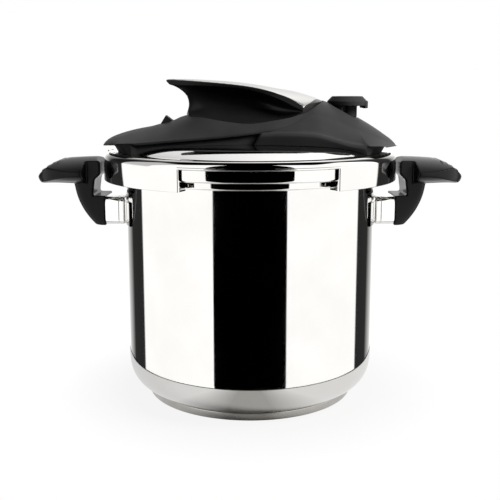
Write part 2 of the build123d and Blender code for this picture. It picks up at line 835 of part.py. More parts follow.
with BuildPart() as grip:
    with BuildSketch(Plane.XY.offset(cover_floor_z)):
        with Locations((grip_x, 0)):
            Ellipse(grip_half_length, grip_half_width)
    extrude(amount=deck_z)
    with BuildSketch(Plane.XY.offset(deck_z + beak_rise)):
        with Locations((grip_x - grip_half_length, 0)):
            Rectangle(grip_half_length, grip_half_width)
    extrude(amount=deck_z)
    with BuildSketch(Plane.XZ):
        with BuildLine():
            beak_x = grip_x - grip_half_length
            ThreePointArc(
                (beak_x, deck_z + 32.4),
                (beak_x + 2.6, deck_z + 42.0),
                (beak_x - 2.9, deck_z + 51.8),
            )
            ThreePointArc(
                (beak_x - 2.9, deck_z + 51.8),
                (beak_x - 8.2, deck_z + 55.2),
                (beak_x - 14.1, deck_z + 57.2),
            )
            Polyline(
                (beak_x - 14.1, deck_z + 57.2),
                (beak_x - 17.2, deck_z + 60.2),
                (beak_x - 15.6, 2 * deck_z),
                (grip_x + grip_half_length, 2 * deck_z),
                (grip_x + grip_half_length, cover_floor_z),
                (beak_x, cover_floor_z),
                (beak_x, deck_z + 32.4),
            )
        make_face()
    extrude(amount=crown_half, both=True, mode=Mode.INTERSECT)
    loft(crown_faces, mode=Mode.INTERSECT)
    for side in (-1, 1):
        hollow_faces = [hollow(side, *station) for station in hollow_stations]
        loft(hollow_faces, mode=Mode.SUBTRACT)
    add(plate_pocket.part, mode=Mode.SUBTRACT)
    for x, y in stud_places:
        hole(x, y, cover_floor_z, cover_floor_z + nut_height + stud_proud + sheet, nut_pocket_radius)
    for x, y in screw_places:
        hole(x, y, cover_floor_z, cavity_top_z + grip_screw_length + sheet, grip_screw_radius + screw_fit)

# Fixings between lid, cover and grip
with BuildPart() as lid_studs:
    for x, y in stud_places:
        tube(x, y, stud_foot_z, cover_floor_z + nut_height + stud_proud, stud_radius)

with BuildPart() as cover_nuts:
    with BuildSketch(Plane.XY.offset(cover_floor_z)):
        with Locations(*stud_places):
            RegularPolygon(nut_flat / 2, 6, major_radius=False)
            Circle(stud_radius + screw_fit, mode=Mode.SUBTRACT)
    extrude(amount=nut_height)

with BuildPart() as grip_screws:
    for x, y in screw_places:
        tube(x, y, cavity_top_z - grip_screw_head_height, cavity_top_z, grip_screw_head)
        tube(x, y, cavity_top_z, cavity_top_z + grip_screw_length, grip_screw_radius)

# Selector valve: tube, washer, nut and filter fixed to the lid
neck_bottom_z = valve_under_z - washer_thickness - valve_nut_height - filter_wall - sheet
chamber_z = valve_seat_z + valve_flange / 2
stem_bottom_z = valve_top_z - stem_engagement
plunger_top_z = chamber_z + plunger_height

with BuildPart() as valve_tube:
    tube(valve_x, 0, neck_bottom_z, valve_seat_z, valve_neck_radius)
    tube(valve_x, 0, valve_seat_z, valve_seat_z + valve_flange, valve_flange_radius)
    tube(valve_x, 0, valve_seat_z + valve_flange, valve_top_z, valve_tube_radius)
    hole(valve_x, 0, chamber_z, valve_top_z, valve_bore_radius)
    hole(valve_x, 0, neck_bottom_z, chamber_z, valve_inlet_radius)

with BuildPart() as valve_washer:
    washer_bottom_z = valve_under_z - washer_thickness
    tube(valve_x, 0, washer_bottom_z, valve_under_z, valve_flange_radius, valve_neck_radius + screw_fit)

with BuildPart() as valve_nut:
    with BuildSketch(Plane.XY.offset(valve_under_z - washer_thickness - valve_nut_height)):
        with Locations((valve_x, 0)):
            RegularPolygon(valve_nut_flat / 2, 6, major_radius=False)
            Circle(valve_neck_radius + screw_fit, mode=Mode.SUBTRACT)
    extrude(amount=valve_nut_height)

filter_top_z = valve_under_z - washer_thickness - valve_nut_height
with BuildPart() as steam_filter:
    tube(valve_x, 0, filter_top_z - filter_height, filter_top_z, filter_radius)
    filter_floor_z = filter_top_z - filter_height + filter_wall
    hole(valve_x, 0, filter_floor_z, filter_top_z - filter_wall, filter_radius - filter_wall)
    hole(valve_x, 0, filter_top_z - filter_wall, filter_top_z, valve_neck_radius + screw_fit)
    with BuildSketch(Plane.XY.offset(filter_top_z - filter_height)):
        with Locations((valve_x, 0)):
            with PolarLocations(filter_radius / 2, filter_hole_count):
                Circle(filter_hole_radius)
    extrude(amount=filter_wall, mode=Mode.SUBTRACT)

with BuildPart() as regulator_plunger:
    tube(valve_x, 0, chamber_z, plunger_top_z, valve_bore_radius - run_fit)


def coil(x, y, bottom, top, radius):
    """Round-wire compression spring standing between two heights."""
    height = top - bottom - 2 * spring_wire
    with BuildLine() as path:
        Helix(height / spring_turns, height, radius, center=(x, y, bottom + spring_wire))
    with BuildSketch(Plane(origin=path.line @ 0, z_dir=path.line % 0)) as wire:
        Circle(spring_wire)
    sweep(wire.sketch, path=path.line, is_frenet=True)


with BuildPart() as regulator_spring:
    coil(
        valve_x,
        0,
        plunger_top_z + spring_gap,
        stem_bottom_z - spring_gap,
        valve_bore_radius - 2 * spring_wire,
    )

# Selector: stem in the valve's bore and the black knob on it
knob_top_z = deck_z + knob_top_rise
knob_bottom_z = deck_z + knob_floor_rise + knob_floor_gap
cap_bottom_z = knob_top_z - knob_cap_height
stem_top_z = knob_top_z - knob_edge

with BuildPart() as selector_stem:
    tube(valve_x, 0, stem_bottom_z, valve_top_z + knob_floor_gap, valve_bore_radius - run_fit)
    tube(valve_x, 0, valve_top_z + knob_floor_gap, stem_top_z, stem_radius)

with BuildPart() as selector_knob:
    with BuildSketch(Plane.XZ):
        with BuildLine():
            Polyline(
                (valve_x, knob_bottom_z),
                (valve_x + knob_hub_radius, knob_bottom_z),
                (valve_x + knob_hub_radius, cap_bottom_z),
                (valve_x + knob_cap_radius, cap_bottom_z),
                (valve_x + knob_cap_radius, knob_top_z - knob_edge),
                (valve_x + knob_cap_radius - knob_edge, knob_top_z),
                (valve_x, knob_top_z),
                close=True,
            )
        make_face()
    revolve(axis=Axis((valve_x, 0, 0), (0, 0, 1)))
    hook = sector(
        Plane((valve_x, 0, knob_top_z - knob_hook_height)),
        knob_cap_radius - hook_thickness,
        knob_cap_radius + hook_reach,
        -hook_half_angle,
        hook_half_angle,
    )
    extrude(hook, amount=knob_hook_height - knob_edge)
    hole(valve_x, 0, knob_bottom_z, valve_top_z + knob_floor_gap, valve_tube_radius + run_fit)
    hole(valve_x, 0, valve_top_z + knob_floor_gap, stem_top_z, stem_radius + screw_fit)

# Pressure indicator: bush and nut on the lid, pin and seal that rise
bush_top_z = indicator_seat_z + indicator_flange + sheet
bush_bottom_z = indicator_under_z - indicator_nut_height - sheet
pin_flange_z = bush_bottom_z - indicator_lift - seal_thickness - stud_clearance
pin_top_z = deck_z + indicator_top_rise

with BuildPart() as indicator_bush:
    tube(indicator_x, indicator_y, bush_bottom_z, indicator_seat_z, indicator_bush_radius)
    tube(
        indicator_x,
        indicator_y,
        indicator_seat_z,
        indicator_seat_z + indicator_flange,
        indicator_flange_radius,
    )
    tube(indicator_x, indicator_y, indicator_seat_z + indicator_flange, bush_top_z, indicator_bush_radius)
    hole(indicator_x, indicator_y, bush_bottom_z, bush_top_z, indicator_radius + run_fit)

with BuildPart() as indicator_nut:
    with BuildSketch(Plane.XY.offset(indicator_under_z - indicator_nut_height)):
        with Locations((indicator_x, indicator_y)):
            RegularPolygon(indicator_flange_radius, 6, major_radius=False)
            Circle(indicator_bush_radius + screw_fit, mode=Mode.SUBTRACT)
    extrude(amount=indicator_nut_height)

with BuildPart() as indicator_pin:
    tube(indicator_x, indicator_y, pin_flange_z - sheet, pin_flange_z, indicator_bush_radius)
    tube(indicator_x, indicator_y, pin_flange_z, pin_top_z, indicator_radius)

with BuildPart() as indicator_seal:
    seal_top_z = pin_flange_z + seal_thickness
    tube(
        indicator_x,
        indicator_y,
        pin_flange_z,
        seal_top_z,
        indicator_bush_radius,
        indicator_radius + screw_fit,
    )

# Safety valve at the lid's centre, under the cover
ball_seat_z = safety_seat_z - safety_seat_drop
ball_z = ball_seat_z + sqrt(safety_ball_radius**2 - safety_inlet_radius**2)
safety_top_z = cavity_top_z - sheet
safety_cap_z = safety_top_z - safety_cap_height
safety_bottom_z = ball_seat_z - safety_floor

with BuildPart() as safety_body:
    tube(0, 0, safety_bottom_z, safety_seat_z, safety_neck_radius)
    tube(0, 0, safety_seat_z, safety_top_z, safety_body_radius)
    hole(0, 0, ball_seat_z, safety_top_z, safety_bore_radius)
    hole(0, 0, safety_bottom_z, ball_seat_z, safety_inlet_radius)

with BuildPart() as safety_nut:
    with BuildSketch(Plane.XY.offset(safety_under_z - indicator_nut_height)):
        RegularPolygon(safety_body_radius, 6, major_radius=False)
        Circle(safety_neck_radius + screw_fit, mode=Mode.SUBTRACT)
    extrude(amount=indicator_nut_height)

with BuildPart() as safety_ball:
    with Locations((0, 0, ball_z)):
        Sphere(safety_ball_radius)

with BuildPart() as safety_cap:
    tube(0, 0, safety_cap_z, safety_top_z, safety_bore_radius - screw_fit, safety_inlet_radius)

with BuildPart() as safety_spring:
    coil(0, 0, ball_z + safety_ball_radius + spring_gap, safety_cap_z - spring_gap, safety_inlet_radius)

# Lock: black slider with its fin, steel bolt below it and the screws between them
slider_bottom_z = deck_z + slider_bottom_rise
bolt_low_z = deck_z + bolt_rise
bolt_tip_z = lug_z + lip_gap
bolt_screw_places = (lock_x - lock_half_length / 2, lock_x + lock_half_length / 2)

with BuildPart() as lock_slider:
    with BuildSketch(Plane.XZ):
        with BuildLine():
            Polyline(
                (lock_x - lock_half_length, slider_bottom_z),
                (lock_x + lock_half_length, slider_bottom_z),
                (lock_x + lock_half_length, deck_z + 25.6),
                (lock_x + 5.5, deck_z + 26.2),
                (lock_x - 0.4, deck_z + 30.6),
                (lock_x - 5.3, deck_z + 22.9),
                (lock_x - lock_half_length, deck_z + 22.6),
                close=True,
            )
        make_face()
    extrude(amount=lock_half_width, both=True)
    for x in bolt_screw_places:
        hole(
            x,
            0,
            slider_bottom_z,
            slider_bottom_z + bolt_screw_length + sheet,
            bolt_screw_radius + screw_fit,
        )

with BuildPart() as lock_bolt:
    with BuildSketch(Plane.XZ):
        with BuildLine():
            Polyline(
                (lock_x + lock_half_length, slider_bottom_z),
                (lock_x - bolt_bend_offset, slider_bottom_z),
                (lock_x - bolt_drop_offset, bolt_low_z),
                (bolt_leg_x - bolt_sheet / 2, bolt_low_z),
                (bolt_leg_x - bolt_sheet / 2, bolt_tip_z),
                (bolt_leg_x + bolt_sheet / 2, bolt_tip_z),
                (bolt_leg_x + bolt_sheet / 2, bolt_low_z - bolt_sheet),
                (lock_x - bolt_drop_offset + bolt_sheet / 2, bolt_low_z - bolt_sheet),
                (lock_x - bolt_bend_offset + bolt_sheet / 2, slider_bottom_z - bolt_sheet),
                (lock_x + lock_half_length, slider_bottom_z - bolt_sheet),
                close=True,
            )
        make_face()
    extrude(amount=bolt_half_width, both=True)
    for x in bolt_screw_places:
        hole(x, 0, slider_bottom_z - 2 * bolt_sheet, slider_bottom_z, bolt_screw_radius + screw_fit)

with BuildPart() as bolt_screws:
    for x in bolt_screw_places:
        tube(x, 0, slider_bottom_z - bolt_sheet, slider_bottom_z + bolt_screw_length, bolt_screw_radius)
        tube(x, 0, slider_bottom_z - 2 * bolt_sheet, slider_bottom_z - bolt_sheet, 2 * bolt_screw_radius)

pieces = {
    "lid_shell": lid_shell,
    "gasket": gasket,
    "lid_cover": lid_cover,
    "grip": grip,
    "grip_plate": grip_plate,
    "lid_studs": lid_studs,
    "cover_nuts": cover_nuts,
    "grip_screws": grip_screws,
    "valve_tube": valve_tube,
    "valve_washer": valve_washer,
    "valve_nut": valve_nut,
    "steam_filter": steam_filter,
    "regulator_plunger": regulator_plunger,
    "regulator_spring": regulator_spring,
    "selector_stem": selector_stem,
    "selector_knob": selector_knob,
    "indicator_bush": indicator_bush,
    "indicator_nut": indicator_nut,
    "indicator_pin": indicator_pin,
    "indicator_seal": indicator_seal,
    "safety_body": safety_body,
    "safety_nut": safety_nut,
    "safety_ball": safety_ball,
    "safety_cap": safety_cap,
    "safety_spring": safety_spring,
    "lock_slider": lock_slider,
    "lock_bolt": lock_bolt,
    "bolt_screws": bolt_screws,
    "pot_body": pot_body,
    "heat_core": heat_core,
    "base_cap": base_cap,
    "bracket_right": bracket_right,
    "ferrule_right": ferrule_right,
    "side_handle_right": side_handle_right,
    "handle_screw_right": handle_screw_right,
    "bracket_left": bracket_left,
    "ferrule_left": ferrule_left,
    "side_handle_left": side_handle_left,
    "handle_screw_left": handle_screw_left,
}
for name, piece in pieces.items():
    piece.part.label = name
    export_step(piece.part, f"parts/{name}.step")
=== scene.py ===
"""Looks of a stovetop pressure cooker: mirror-polished pot, bayonet lid, black cover with a raised grip.

Every size is in millimetres in the part's own frame, with +Z up and the origin under the base. It goes to
metres where a mesh, a light, a pattern or the camera is made.
"""

import json
import logging
import math
from dataclasses import dataclass
from enum import Enum
from typing import Sequence

import bmesh
import bpy
import numpy as np
from mathutils import Matrix, Vector

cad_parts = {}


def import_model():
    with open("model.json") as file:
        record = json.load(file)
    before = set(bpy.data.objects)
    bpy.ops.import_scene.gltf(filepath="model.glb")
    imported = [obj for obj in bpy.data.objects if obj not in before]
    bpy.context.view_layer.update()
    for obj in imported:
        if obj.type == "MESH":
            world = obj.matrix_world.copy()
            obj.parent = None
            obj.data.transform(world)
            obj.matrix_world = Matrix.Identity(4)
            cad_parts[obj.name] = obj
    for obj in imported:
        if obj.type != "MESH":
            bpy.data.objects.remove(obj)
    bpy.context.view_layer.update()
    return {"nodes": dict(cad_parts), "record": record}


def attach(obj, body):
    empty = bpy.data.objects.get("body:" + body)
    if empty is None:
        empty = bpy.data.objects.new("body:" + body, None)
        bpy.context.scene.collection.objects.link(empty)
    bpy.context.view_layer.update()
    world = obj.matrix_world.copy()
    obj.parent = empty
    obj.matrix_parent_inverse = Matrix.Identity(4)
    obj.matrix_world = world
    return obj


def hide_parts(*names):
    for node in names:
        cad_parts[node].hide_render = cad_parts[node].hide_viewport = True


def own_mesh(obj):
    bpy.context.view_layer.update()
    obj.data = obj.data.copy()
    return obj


LOG = logging.getLogger("cooker")
MM = 0.001

Point2 = tuple[float, float]
Point3 = tuple[float, float, float]
Stations = Sequence[Point2]

# Sizes that more than one sub-assembly takes, and how far the valves lift
POT_RADIUS = 111.0
LUG_ANGLES = (0.0, 180.0, 235.9, 311.3, 55.9, 131.3)
NOTCHED_LUG = 180.0
VALVE_AT: Point2 = (86.0, 0.0)
INDICATOR_AT: Point2 = (-90.0, 17.0)
REGULATOR_LIFT = 2.0
SAFETY_LIFT = 1.5

# Divisions of a whole turn in pressed sheet, fine enough for a mirror to show none
SHEET_STEPS = 320

# Angles above which an edge of pressed sheet and of a moulding stays sharp
SHEET_SHARP_DEG = 40.0
MOULDED_SHARP_DEG = 60.0


class Body(Enum):
    """Bodies that a piece can ride on."""

    POT = "pot"
    LID = "lid"
    SELECTOR = "selector"
    LOCK = "lock"


class Slot(Enum):
    """Material slots of the record."""

    POLISHED_STEEL = "polished_steel"
    BASE_STEEL = "base_steel"
    CORE_ALUMINIUM = "core_aluminium"
    BLACK_PHENOLIC = "black_phenolic"
    SILICONE = "silicone"
    BRASS = "brass"
    SPRING_STEEL = "spring_steel"
    FIXING_STEEL = "fixing_steel"
    INDICATOR_RED = "indicator_red"


class Side(Enum):
    """The two side handles, by the sign of X."""

    RIGHT = 1
    LEFT = -1


# Colour and node helpers


def linear(code: str) -> tuple[float, float, float, float]:
    """Turns an sRGB hex colour to linear.

    Args:
        code: Colour such as "#1B1B1C".

    Returns:
        Linear red, green, blue and an alpha of one.
    """
    parts = [int(code[i:i + 2], 16) / 255 for i in (1, 3, 5)]
    red, green, blue = (c / 12.92 if c <= 0.04045 else ((c + 0.055) / 1.055) ** 2.4 for c in parts)
    return (red, green, blue, 1.0)


def per_metre(size_mm: float) -> float:
    """Pattern scale, in repeats per metre, of a feature of a real size in millimetres."""
    return 1.0 / (size_mm * MM)


def add_node(tree: bpy.types.NodeTree, kind: str, inputs: dict | None = None, **settings) -> bpy.types.Node:
    """Adds a node with its settings, values and links.

    Args:
        tree: Node tree that takes the node.
        kind: Blender's type name of the node.
        inputs: Values or sockets by input name or index; a socket is linked.
        **settings: Attributes set on the node.

    Returns:
        The new node.
    """
    node = tree.nodes.new(kind)
    for key, value in settings.items():
        setattr(node, key, value)
    for key, value in (inputs or {}).items():
        if isinstance(value, bpy.types.NodeSocket):
            tree.links.new(value, node.inputs[key])
        else:
            node.inputs[key].default_value = value
    return node


# Finishes


@dataclass(frozen=True)
class Finish:
    """A surface: what it is made of and how it was worked.

    Attributes:
        title: Name of the material.
        slot: Record slot that it fills.
        colour: Base colour as sRGB hex.
        worn: Second colour that the variation drifts to.
        metallic: One for a metal.
        roughness: Middle roughness.
        spread: How far the roughness drifts to each side.
        patch_mm: Size of the drifting patches.
        grain_mm: Size of the fine relief.
        grain_depth_mm: Depth of the fine relief.
        specular: Strength of the sheen of a plastic; a metal keeps the default.
        turned: Whether the relief runs in rings round the upright axis.
        edge: Colour that a surface seen edge-on gives to what it reflects.
    """

    title: str
    slot: Slot
    colour: str
    worn: str
    metallic: float = 0.0
    roughness: float = 0.4
    spread: float = 0.05
    patch_mm: float = 30.0
    grain_mm: float = 0.9
    grain_depth_mm: float = 0.02
    specular: float = 0.5
    turned: bool = False
    edge: str = "#FFFFFF"

    def material(self) -> bpy.types.Material:
        """Builds the node material.

        Returns:
            The material, with colour drift, roughness drift and a fine relief.
        """
        known = bpy.data.materials.get(self.title)
        if known is not None:
            return known
        made = bpy.data.materials.new(self.title)
        made.use_nodes = True
        tree = made.node_tree
        tree.nodes.clear()
        place = add_node(tree, "ShaderNodeTexCoord")
        patches = add_node(
            tree, "ShaderNodeTexNoise",
            {"Vector": place.outputs["Object"], "Scale": per_metre(self.patch_mm), "Detail": 3.0},
        )
        tint = self._tint(tree, patches)
        gloss = add_node(
            tree, "ShaderNodeMapRange",
            {
                "Value": patches.outputs["Fac"],
                "From Min": 0.3, "From Max": 0.7,
                "To Min": self.roughness - self.spread, "To Max": self.roughness + self.spread,
            },
        )
        relief = self._relief(tree, place)
        bump = add_node(
            tree, "ShaderNodeBump",
            {"Height": relief, "Distance": self.grain_depth_mm * MM, "Strength": 1.0},
        )
        shader = add_node(
            tree, "ShaderNodeBsdfPrincipled",
            {
                "Base Color": tint, "Metallic": self.metallic, "Roughness": gloss.outputs["Result"],
                "Normal": bump.outputs["Normal"], "Specular IOR Level": self.specular,
                "Specular Tint": linear(self.edge),
            },
        )
        add_node(tree, "ShaderNodeOutputMaterial", {"Surface": shader.outputs["BSDF"]})
        return made

    def _tint(self, tree: bpy.types.NodeTree, patches: bpy.types.Node) -> bpy.types.NodeSocket:
        """Colour that drifts between the two colours over the patches.

        Args:
            tree: Node tree of the material.
            patches: Noise that the drift follows.

        Returns:
            The colour socket.
        """
        ramp = add_node(tree, "ShaderNodeValToRGB", {"Fac": patches.outputs["Fac"]})
        ramp.color_ramp.elements[0].position = 0.35
        ramp.color_ramp.elements[0].color = linear(self.colour)
        ramp.color_ramp.elements[1].position = 0.7
        ramp.color_ramp.elements[1].color = linear(self.worn)
        return ramp.outputs["Color"]

    def _relief(self, tree: bpy.types.NodeTree, place: bpy.types.Node) -> bpy.types.NodeSocket:
        """Fine relief: an even grain or turned rings.

        Args:
            tree: Node tree of the material.
            place: Texture coordinates.

        Returns:
            The height socket.
        """
        if self.turned:
            split = add_node(tree, "ShaderNodeSeparateXYZ", {"Vector": place.outputs["Object"]})
            flat = add_node(
                tree, "ShaderNodeCombineXYZ", {"X": split.outputs["X"], "Y": split.outputs["Y"]},
            )
            reach = add_node(tree, "ShaderNodeVectorMath", {0: flat.outputs["Vector"]}, operation="LENGTH")
            rings = add_node(
                tree, "ShaderNodeCombineXYZ", {"X": reach.outputs["Value"], "Z": split.outputs["Z"]},
            )
            source = rings.outputs["Vector"]
        else:
            source = place.outputs["Object"]
        grain = add_node(
            tree, "ShaderNodeTexNoise", {"Vector": source, "Scale": per_metre(self.grain_mm), "Detail": 2.0},
        )
        return grain.outputs["Fac"]


# Stainless sheet, drawn and buffed on a wheel: a mirror with faint haze where the buff has passed
MIRROR_STEEL = Finish(
    "mirror_polished_stainless", Slot.POLISHED_STEEL, "#E9E8E6", "#E4E3E0", metallic=1.0, roughness=0.05,
    spread=0.02, patch_mm=45.0, grain_mm=2.5, grain_depth_mm=0.0012, turned=True,
)
# Thin pressed plate of the grip, buffed flat: as bright as the pot, but greyer where its crown turns away
PLATE_STEEL = Finish(
    "buffed_grip_plate", Slot.POLISHED_STEEL, "#E9E8E6", "#E4E3E0", metallic=1.0, roughness=0.09,
    spread=0.02, patch_mm=45.0, grain_mm=2.5, grain_depth_mm=0.0012, edge="#DADADA",
)
# Stainless cap, turned on its face: fine rings that blur what it reflects
BRUSHED_STEEL = Finish(
    "brushed_stainless_base", Slot.BASE_STEEL, "#C3C1BD", "#B5B2AD", metallic=1.0, roughness=0.28,
    spread=0.05, patch_mm=25.0, grain_mm=1.2, grain_depth_mm=0.012, turned=True,
)
# Stainless sleeve, drawn and left satin: pale and even beside the mirror of the pot
SATIN_STEEL = Finish(
    "satin_drawn_stainless", Slot.POLISHED_STEEL, "#F6F5F3", "#EFEEEC", metallic=1.0, roughness=0.12,
    spread=0.03, patch_mm=12.0, grain_mm=1.0, grain_depth_mm=0.006,
)
# Moulded black phenolic: satin and very dark, with an even spark-eroded grain. The real grain is about 0.3 mm
# and is drawn coarser so that it shows
PHENOLIC = Finish(
    "moulded_black_phenolic", Slot.BLACK_PHENOLIC, "#191919", "#1D1D1D", roughness=0.5, spread=0.04,
    specular=0.08, patch_mm=28.0, grain_mm=0.9, grain_depth_mm=0.035,
)
# The same phenolic from a polished mould, where a hand closes on it: deeper black, with a soft gleam along
# its rounds
POLISHED_PHENOLIC = Finish(
    "polished_black_phenolic", Slot.BLACK_PHENOLIC, "#0A0A0A", "#0D0D0D", roughness=0.3, spread=0.04,
    specular=0.16, patch_mm=28.0, grain_mm=0.9, grain_depth_mm=0.012,
)
# Pressed aluminium disc in the base: dull and even
ALUMINIUM = Finish(
    "pressed_aluminium_core", Slot.CORE_ALUMINIUM, "#C9C9C8", "#BDBDBC", metallic=1.0, roughness=0.45,
)
# Moulded silicone gasket: pale grey, matte and slightly waxy
SILICONE = Finish(
    "moulded_silicone", Slot.SILICONE, "#BDBCB8", "#B2B1AD", roughness=0.55, grain_depth_mm=0.01,
)
# Turned brass valve parts: warm metal with tool rings
BRASS = Finish(
    "turned_brass", Slot.BRASS, "#C9A75C", "#B8944B", metallic=1.0, roughness=0.3, grain_mm=0.6,
    grain_depth_mm=0.01, patch_mm=6.0,
)
# Drawn spring wire: grey steel with lines along it
SPRING_WIRE = Finish(
    "drawn_spring_wire", Slot.SPRING_STEEL, "#A9AAAC", "#97989A", metallic=1.0, roughness=0.32, grain_mm=0.4,
    grain_depth_mm=0.006, patch_mm=4.0,
)
# Zinc-plated screws and nuts: bright, a little blue and blotchy
PLATED_STEEL = Finish(
    "zinc_plated_steel", Slot.FIXING_STEEL, "#B9BBBE", "#A7A9AC", metallic=1.0, roughness=0.3, grain_mm=0.5,
    grain_depth_mm=0.006, patch_mm=5.0,
)
# Red moulded indicator pin: glossy
RED_PIN = Finish(
    "moulded_red_pin", Slot.INDICATOR_RED, "#B3201B", "#A51C18", roughness=0.3, grain_mm=0.5,
    grain_depth_mm=0.004, patch_mm=4.0,
)


# Mesh helpers


def through(stations: Stations, x: np.ndarray | float) -> np.ndarray:
    """Smooth curve through stations, with flat ends.

    Args:
        stations: Pairs of place and value, in order of place.
        x: Places to read.

    Returns:
        Values at those places.
    """
    place = np.array([s[0] for s in stations], float)
    value = np.array([s[1] for s in stations], float)
    slope = np.gradient(value, place)
    at = np.clip(np.asarray(x, float), place[0], place[-1])
    i = np.clip(np.searchsorted(place, at, side="right") - 1, 0, len(place) - 2)
    step = place[i + 1] - place[i]
    t = (at - place[i]) / step
    return (
        value[i] * (1 + 2 * t) * (1 - t) ** 2
        + value[i + 1] * t ** 2 * (3 - 2 * t)
        + step * (slope[i] * t * (1 - t) ** 2 - slope[i + 1] * t ** 2 * (1 - t))
    )


def smooth_step(value: float, low: float, high: float) -> float:
    """Rises smoothly from nought at the low end to one at the high end."""
    t = min(max((value - low) / (high - low), 0.0), 1.0)
    return t * t * (3 - 2 * t)


def blend(first: Sequence[Point2], second: Sequence[Point2], share: float) -> list[Point2]:
    """Mixes two rows of points.

    Args:
        first: Row at a share of nought.
        second: Row at a share of one.
        share: Share of the second row.

    Returns:
        The mixed row.
    """
    rest = 1 - share
    return [(rest * a[0] + share * b[0], rest * a[1] + share * b[1]) for a, b in zip(first, second)]


def rounded(corners: Sequence[Point3], steps: int = 6) -> list[Point2]:
    """Closed outline with rounded corners.

    Args:
        corners: Each corner's two coordinates and its radius.
        steps: Divisions of each rounded corner.

    Returns:
        Points of the outline.
    """
    points: list[Point2] = []
    count = len(corners)
    for i, (x, y, radius) in enumerate(corners):
        here = Vector((x, y))
        if radius <= 0:
            points.append((x, y))
            continue
        back = (Vector(corners[i - 1][:2]) - here).normalized()
        ahead = (Vector(corners[(i + 1) % count][:2]) - here).normalized()
        half = back.angle(ahead) / 2
        run = radius / math.tan(half)
        centre = here + (back + ahead).normalized() * (radius / math.sin(half))
        start, end = here + back * run - centre, here + ahead * run - centre
        sweep = start.angle_signed(end)
        for k in range(steps + 1):
            turned = Matrix.Rotation(-sweep * k / steps, 2) @ start
            points.append(tuple(centre + turned))
    return points


def new_piece(name: str, verts: Sequence, faces: Sequence, sharp_deg: float = 35.0) -> bpy.types.Object:
    """Makes a smooth-shaded mesh object from millimetre points.

    Args:
        name: Name of the piece.
        verts: Points in millimetres.
        faces: Faces as rows of point numbers.
        sharp_deg: Angle above which an edge stays sharp.

    Returns:
        The new object.
    """
    mesh = bpy.data.meshes.new(name)
    mesh.from_pydata([tuple(float(c) * MM for c in v) for v in verts], [], [tuple(f) for f in faces])
    work = bmesh.new()
    work.from_mesh(mesh)
    bmesh.ops.remove_doubles(work, verts=work.verts, dist=1e-6)
    bmesh.ops.dissolve_degenerate(work, edges=work.edges, dist=1e-7)
    bmesh.ops.delete(work, geom=[edge for edge in work.edges if not edge.link_faces], context="EDGES")
    bmesh.ops.recalc_face_normals(work, faces=work.faces)
    work.to_mesh(mesh)
    work.free()
    piece = bpy.data.objects.new(name, mesh)
    bpy.context.scene.collection.objects.link(piece)
    shade(piece, sharp_deg)
    return piece


def shade(piece: bpy.types.Object, sharp_deg: float) -> None:
    """Smooth shading with sharp edges above an angle.

    Args:
        piece: Object to shade.
        sharp_deg: Angle above which an edge stays sharp.
    """
    piece.data.shade_smooth()
    piece.data.set_sharp_from_angle(angle=math.radians(sharp_deg))


def rings_to_faces(rings: int, points: int, closed: bool) -> list[tuple[int, ...]]:
    """Faces between closed rings of points that follow each other.

    Args:
        rings: Number of rings.
        points: Points in each ring.
        closed: Whether the last ring joins the first.

    Returns:
        Quads, with end faces where the rings don't close.
    """
    faces: list[tuple[int, ...]] = []
    for i in range(rings if closed else rings - 1):
        j = (i + 1) % rings
        for k in range(points):
            n = (k + 1) % points
            faces.append((i * points + k, i * points + n, j * points + n, j * points + k))
    if not closed:
        faces.append(tuple(range(points)))
        faces.append(tuple((rings - 1) * points + k for k in range(points)))
    return faces


def lathe(
    name: str, outline: Sequence[Point2], start: float = 0.0, sweep: float = 360.0, steps: int = 256,
    sharp_deg: float = 35.0, centre: Point2 = (0.0, 0.0),
) -> bpy.types.Object:
    """Turns a closed outline of radius and height about an upright axis.

    Args:
        name: Name of the piece.
        outline: Radius and height of each point.
        start: First angle in degrees.
        sweep: Angle turned through in degrees.
        steps: Divisions of a whole turn.
        sharp_deg: Angle above which an edge stays sharp.
        centre: Place of the axis in plan.

    Returns:
        The new object.
    """
    whole = sweep >= 360.0
    count = steps if whole else max(2, round(steps * sweep / 360.0)) + 1
    verts = []
    for i in range(count):
        angle = math.radians(start + sweep * i / (count if whole else count - 1))
        verts += [(centre[0] + r * math.cos(angle), centre[1] + r * math.sin(angle), z) for r, z in outline]
    return new_piece(name, verts, rings_to_faces(count, len(outline), whole), sharp_deg)


def drill(name: str, at: Point2, radius: float, span: Point2, steps: int = 64) -> bpy.types.Object:
    """Upright round bar, for cutting a hole.

    Args:
        name: Name of the bar.
        at: Place of its axis in plan.
        radius: Radius of the hole.
        span: Lowest and highest point of the bar.
        steps: Divisions of a whole turn.

    Returns:
        The bar.
    """
    low, high = span
    return lathe(name, [(0.0, low), (radius, low), (radius, high), (0.0, high)], steps=steps, centre=at)


def join(pieces: Sequence[bpy.types.Object], name: str) -> bpy.types.Object:
    """Joins pieces into one object.

    Args:
        pieces: Objects to join; the first takes the others.
        name: Name of the joined piece.

    Returns:
        The joined object.
    """
    work = bmesh.new()
    for piece in pieces:
        work.from_mesh(piece.data)
    target = pieces[0]
    work.to_mesh(target.data)
    work.free()
    for piece in pieces[1:]:
        bpy.data.objects.remove(piece)
    target.name = name
    return target


def apply_modifiers(piece: bpy.types.Object) -> None:
    """Replaces the mesh by what its modifiers make.

    Args:
        piece: Object whose modifiers are applied.
    """
    bpy.context.view_layer.update()
    graph = bpy.context.evaluated_depsgraph_get()
    made = bpy.data.meshes.new_from_object(piece.evaluated_get(graph))
    piece.modifiers.clear()
    piece.data = made


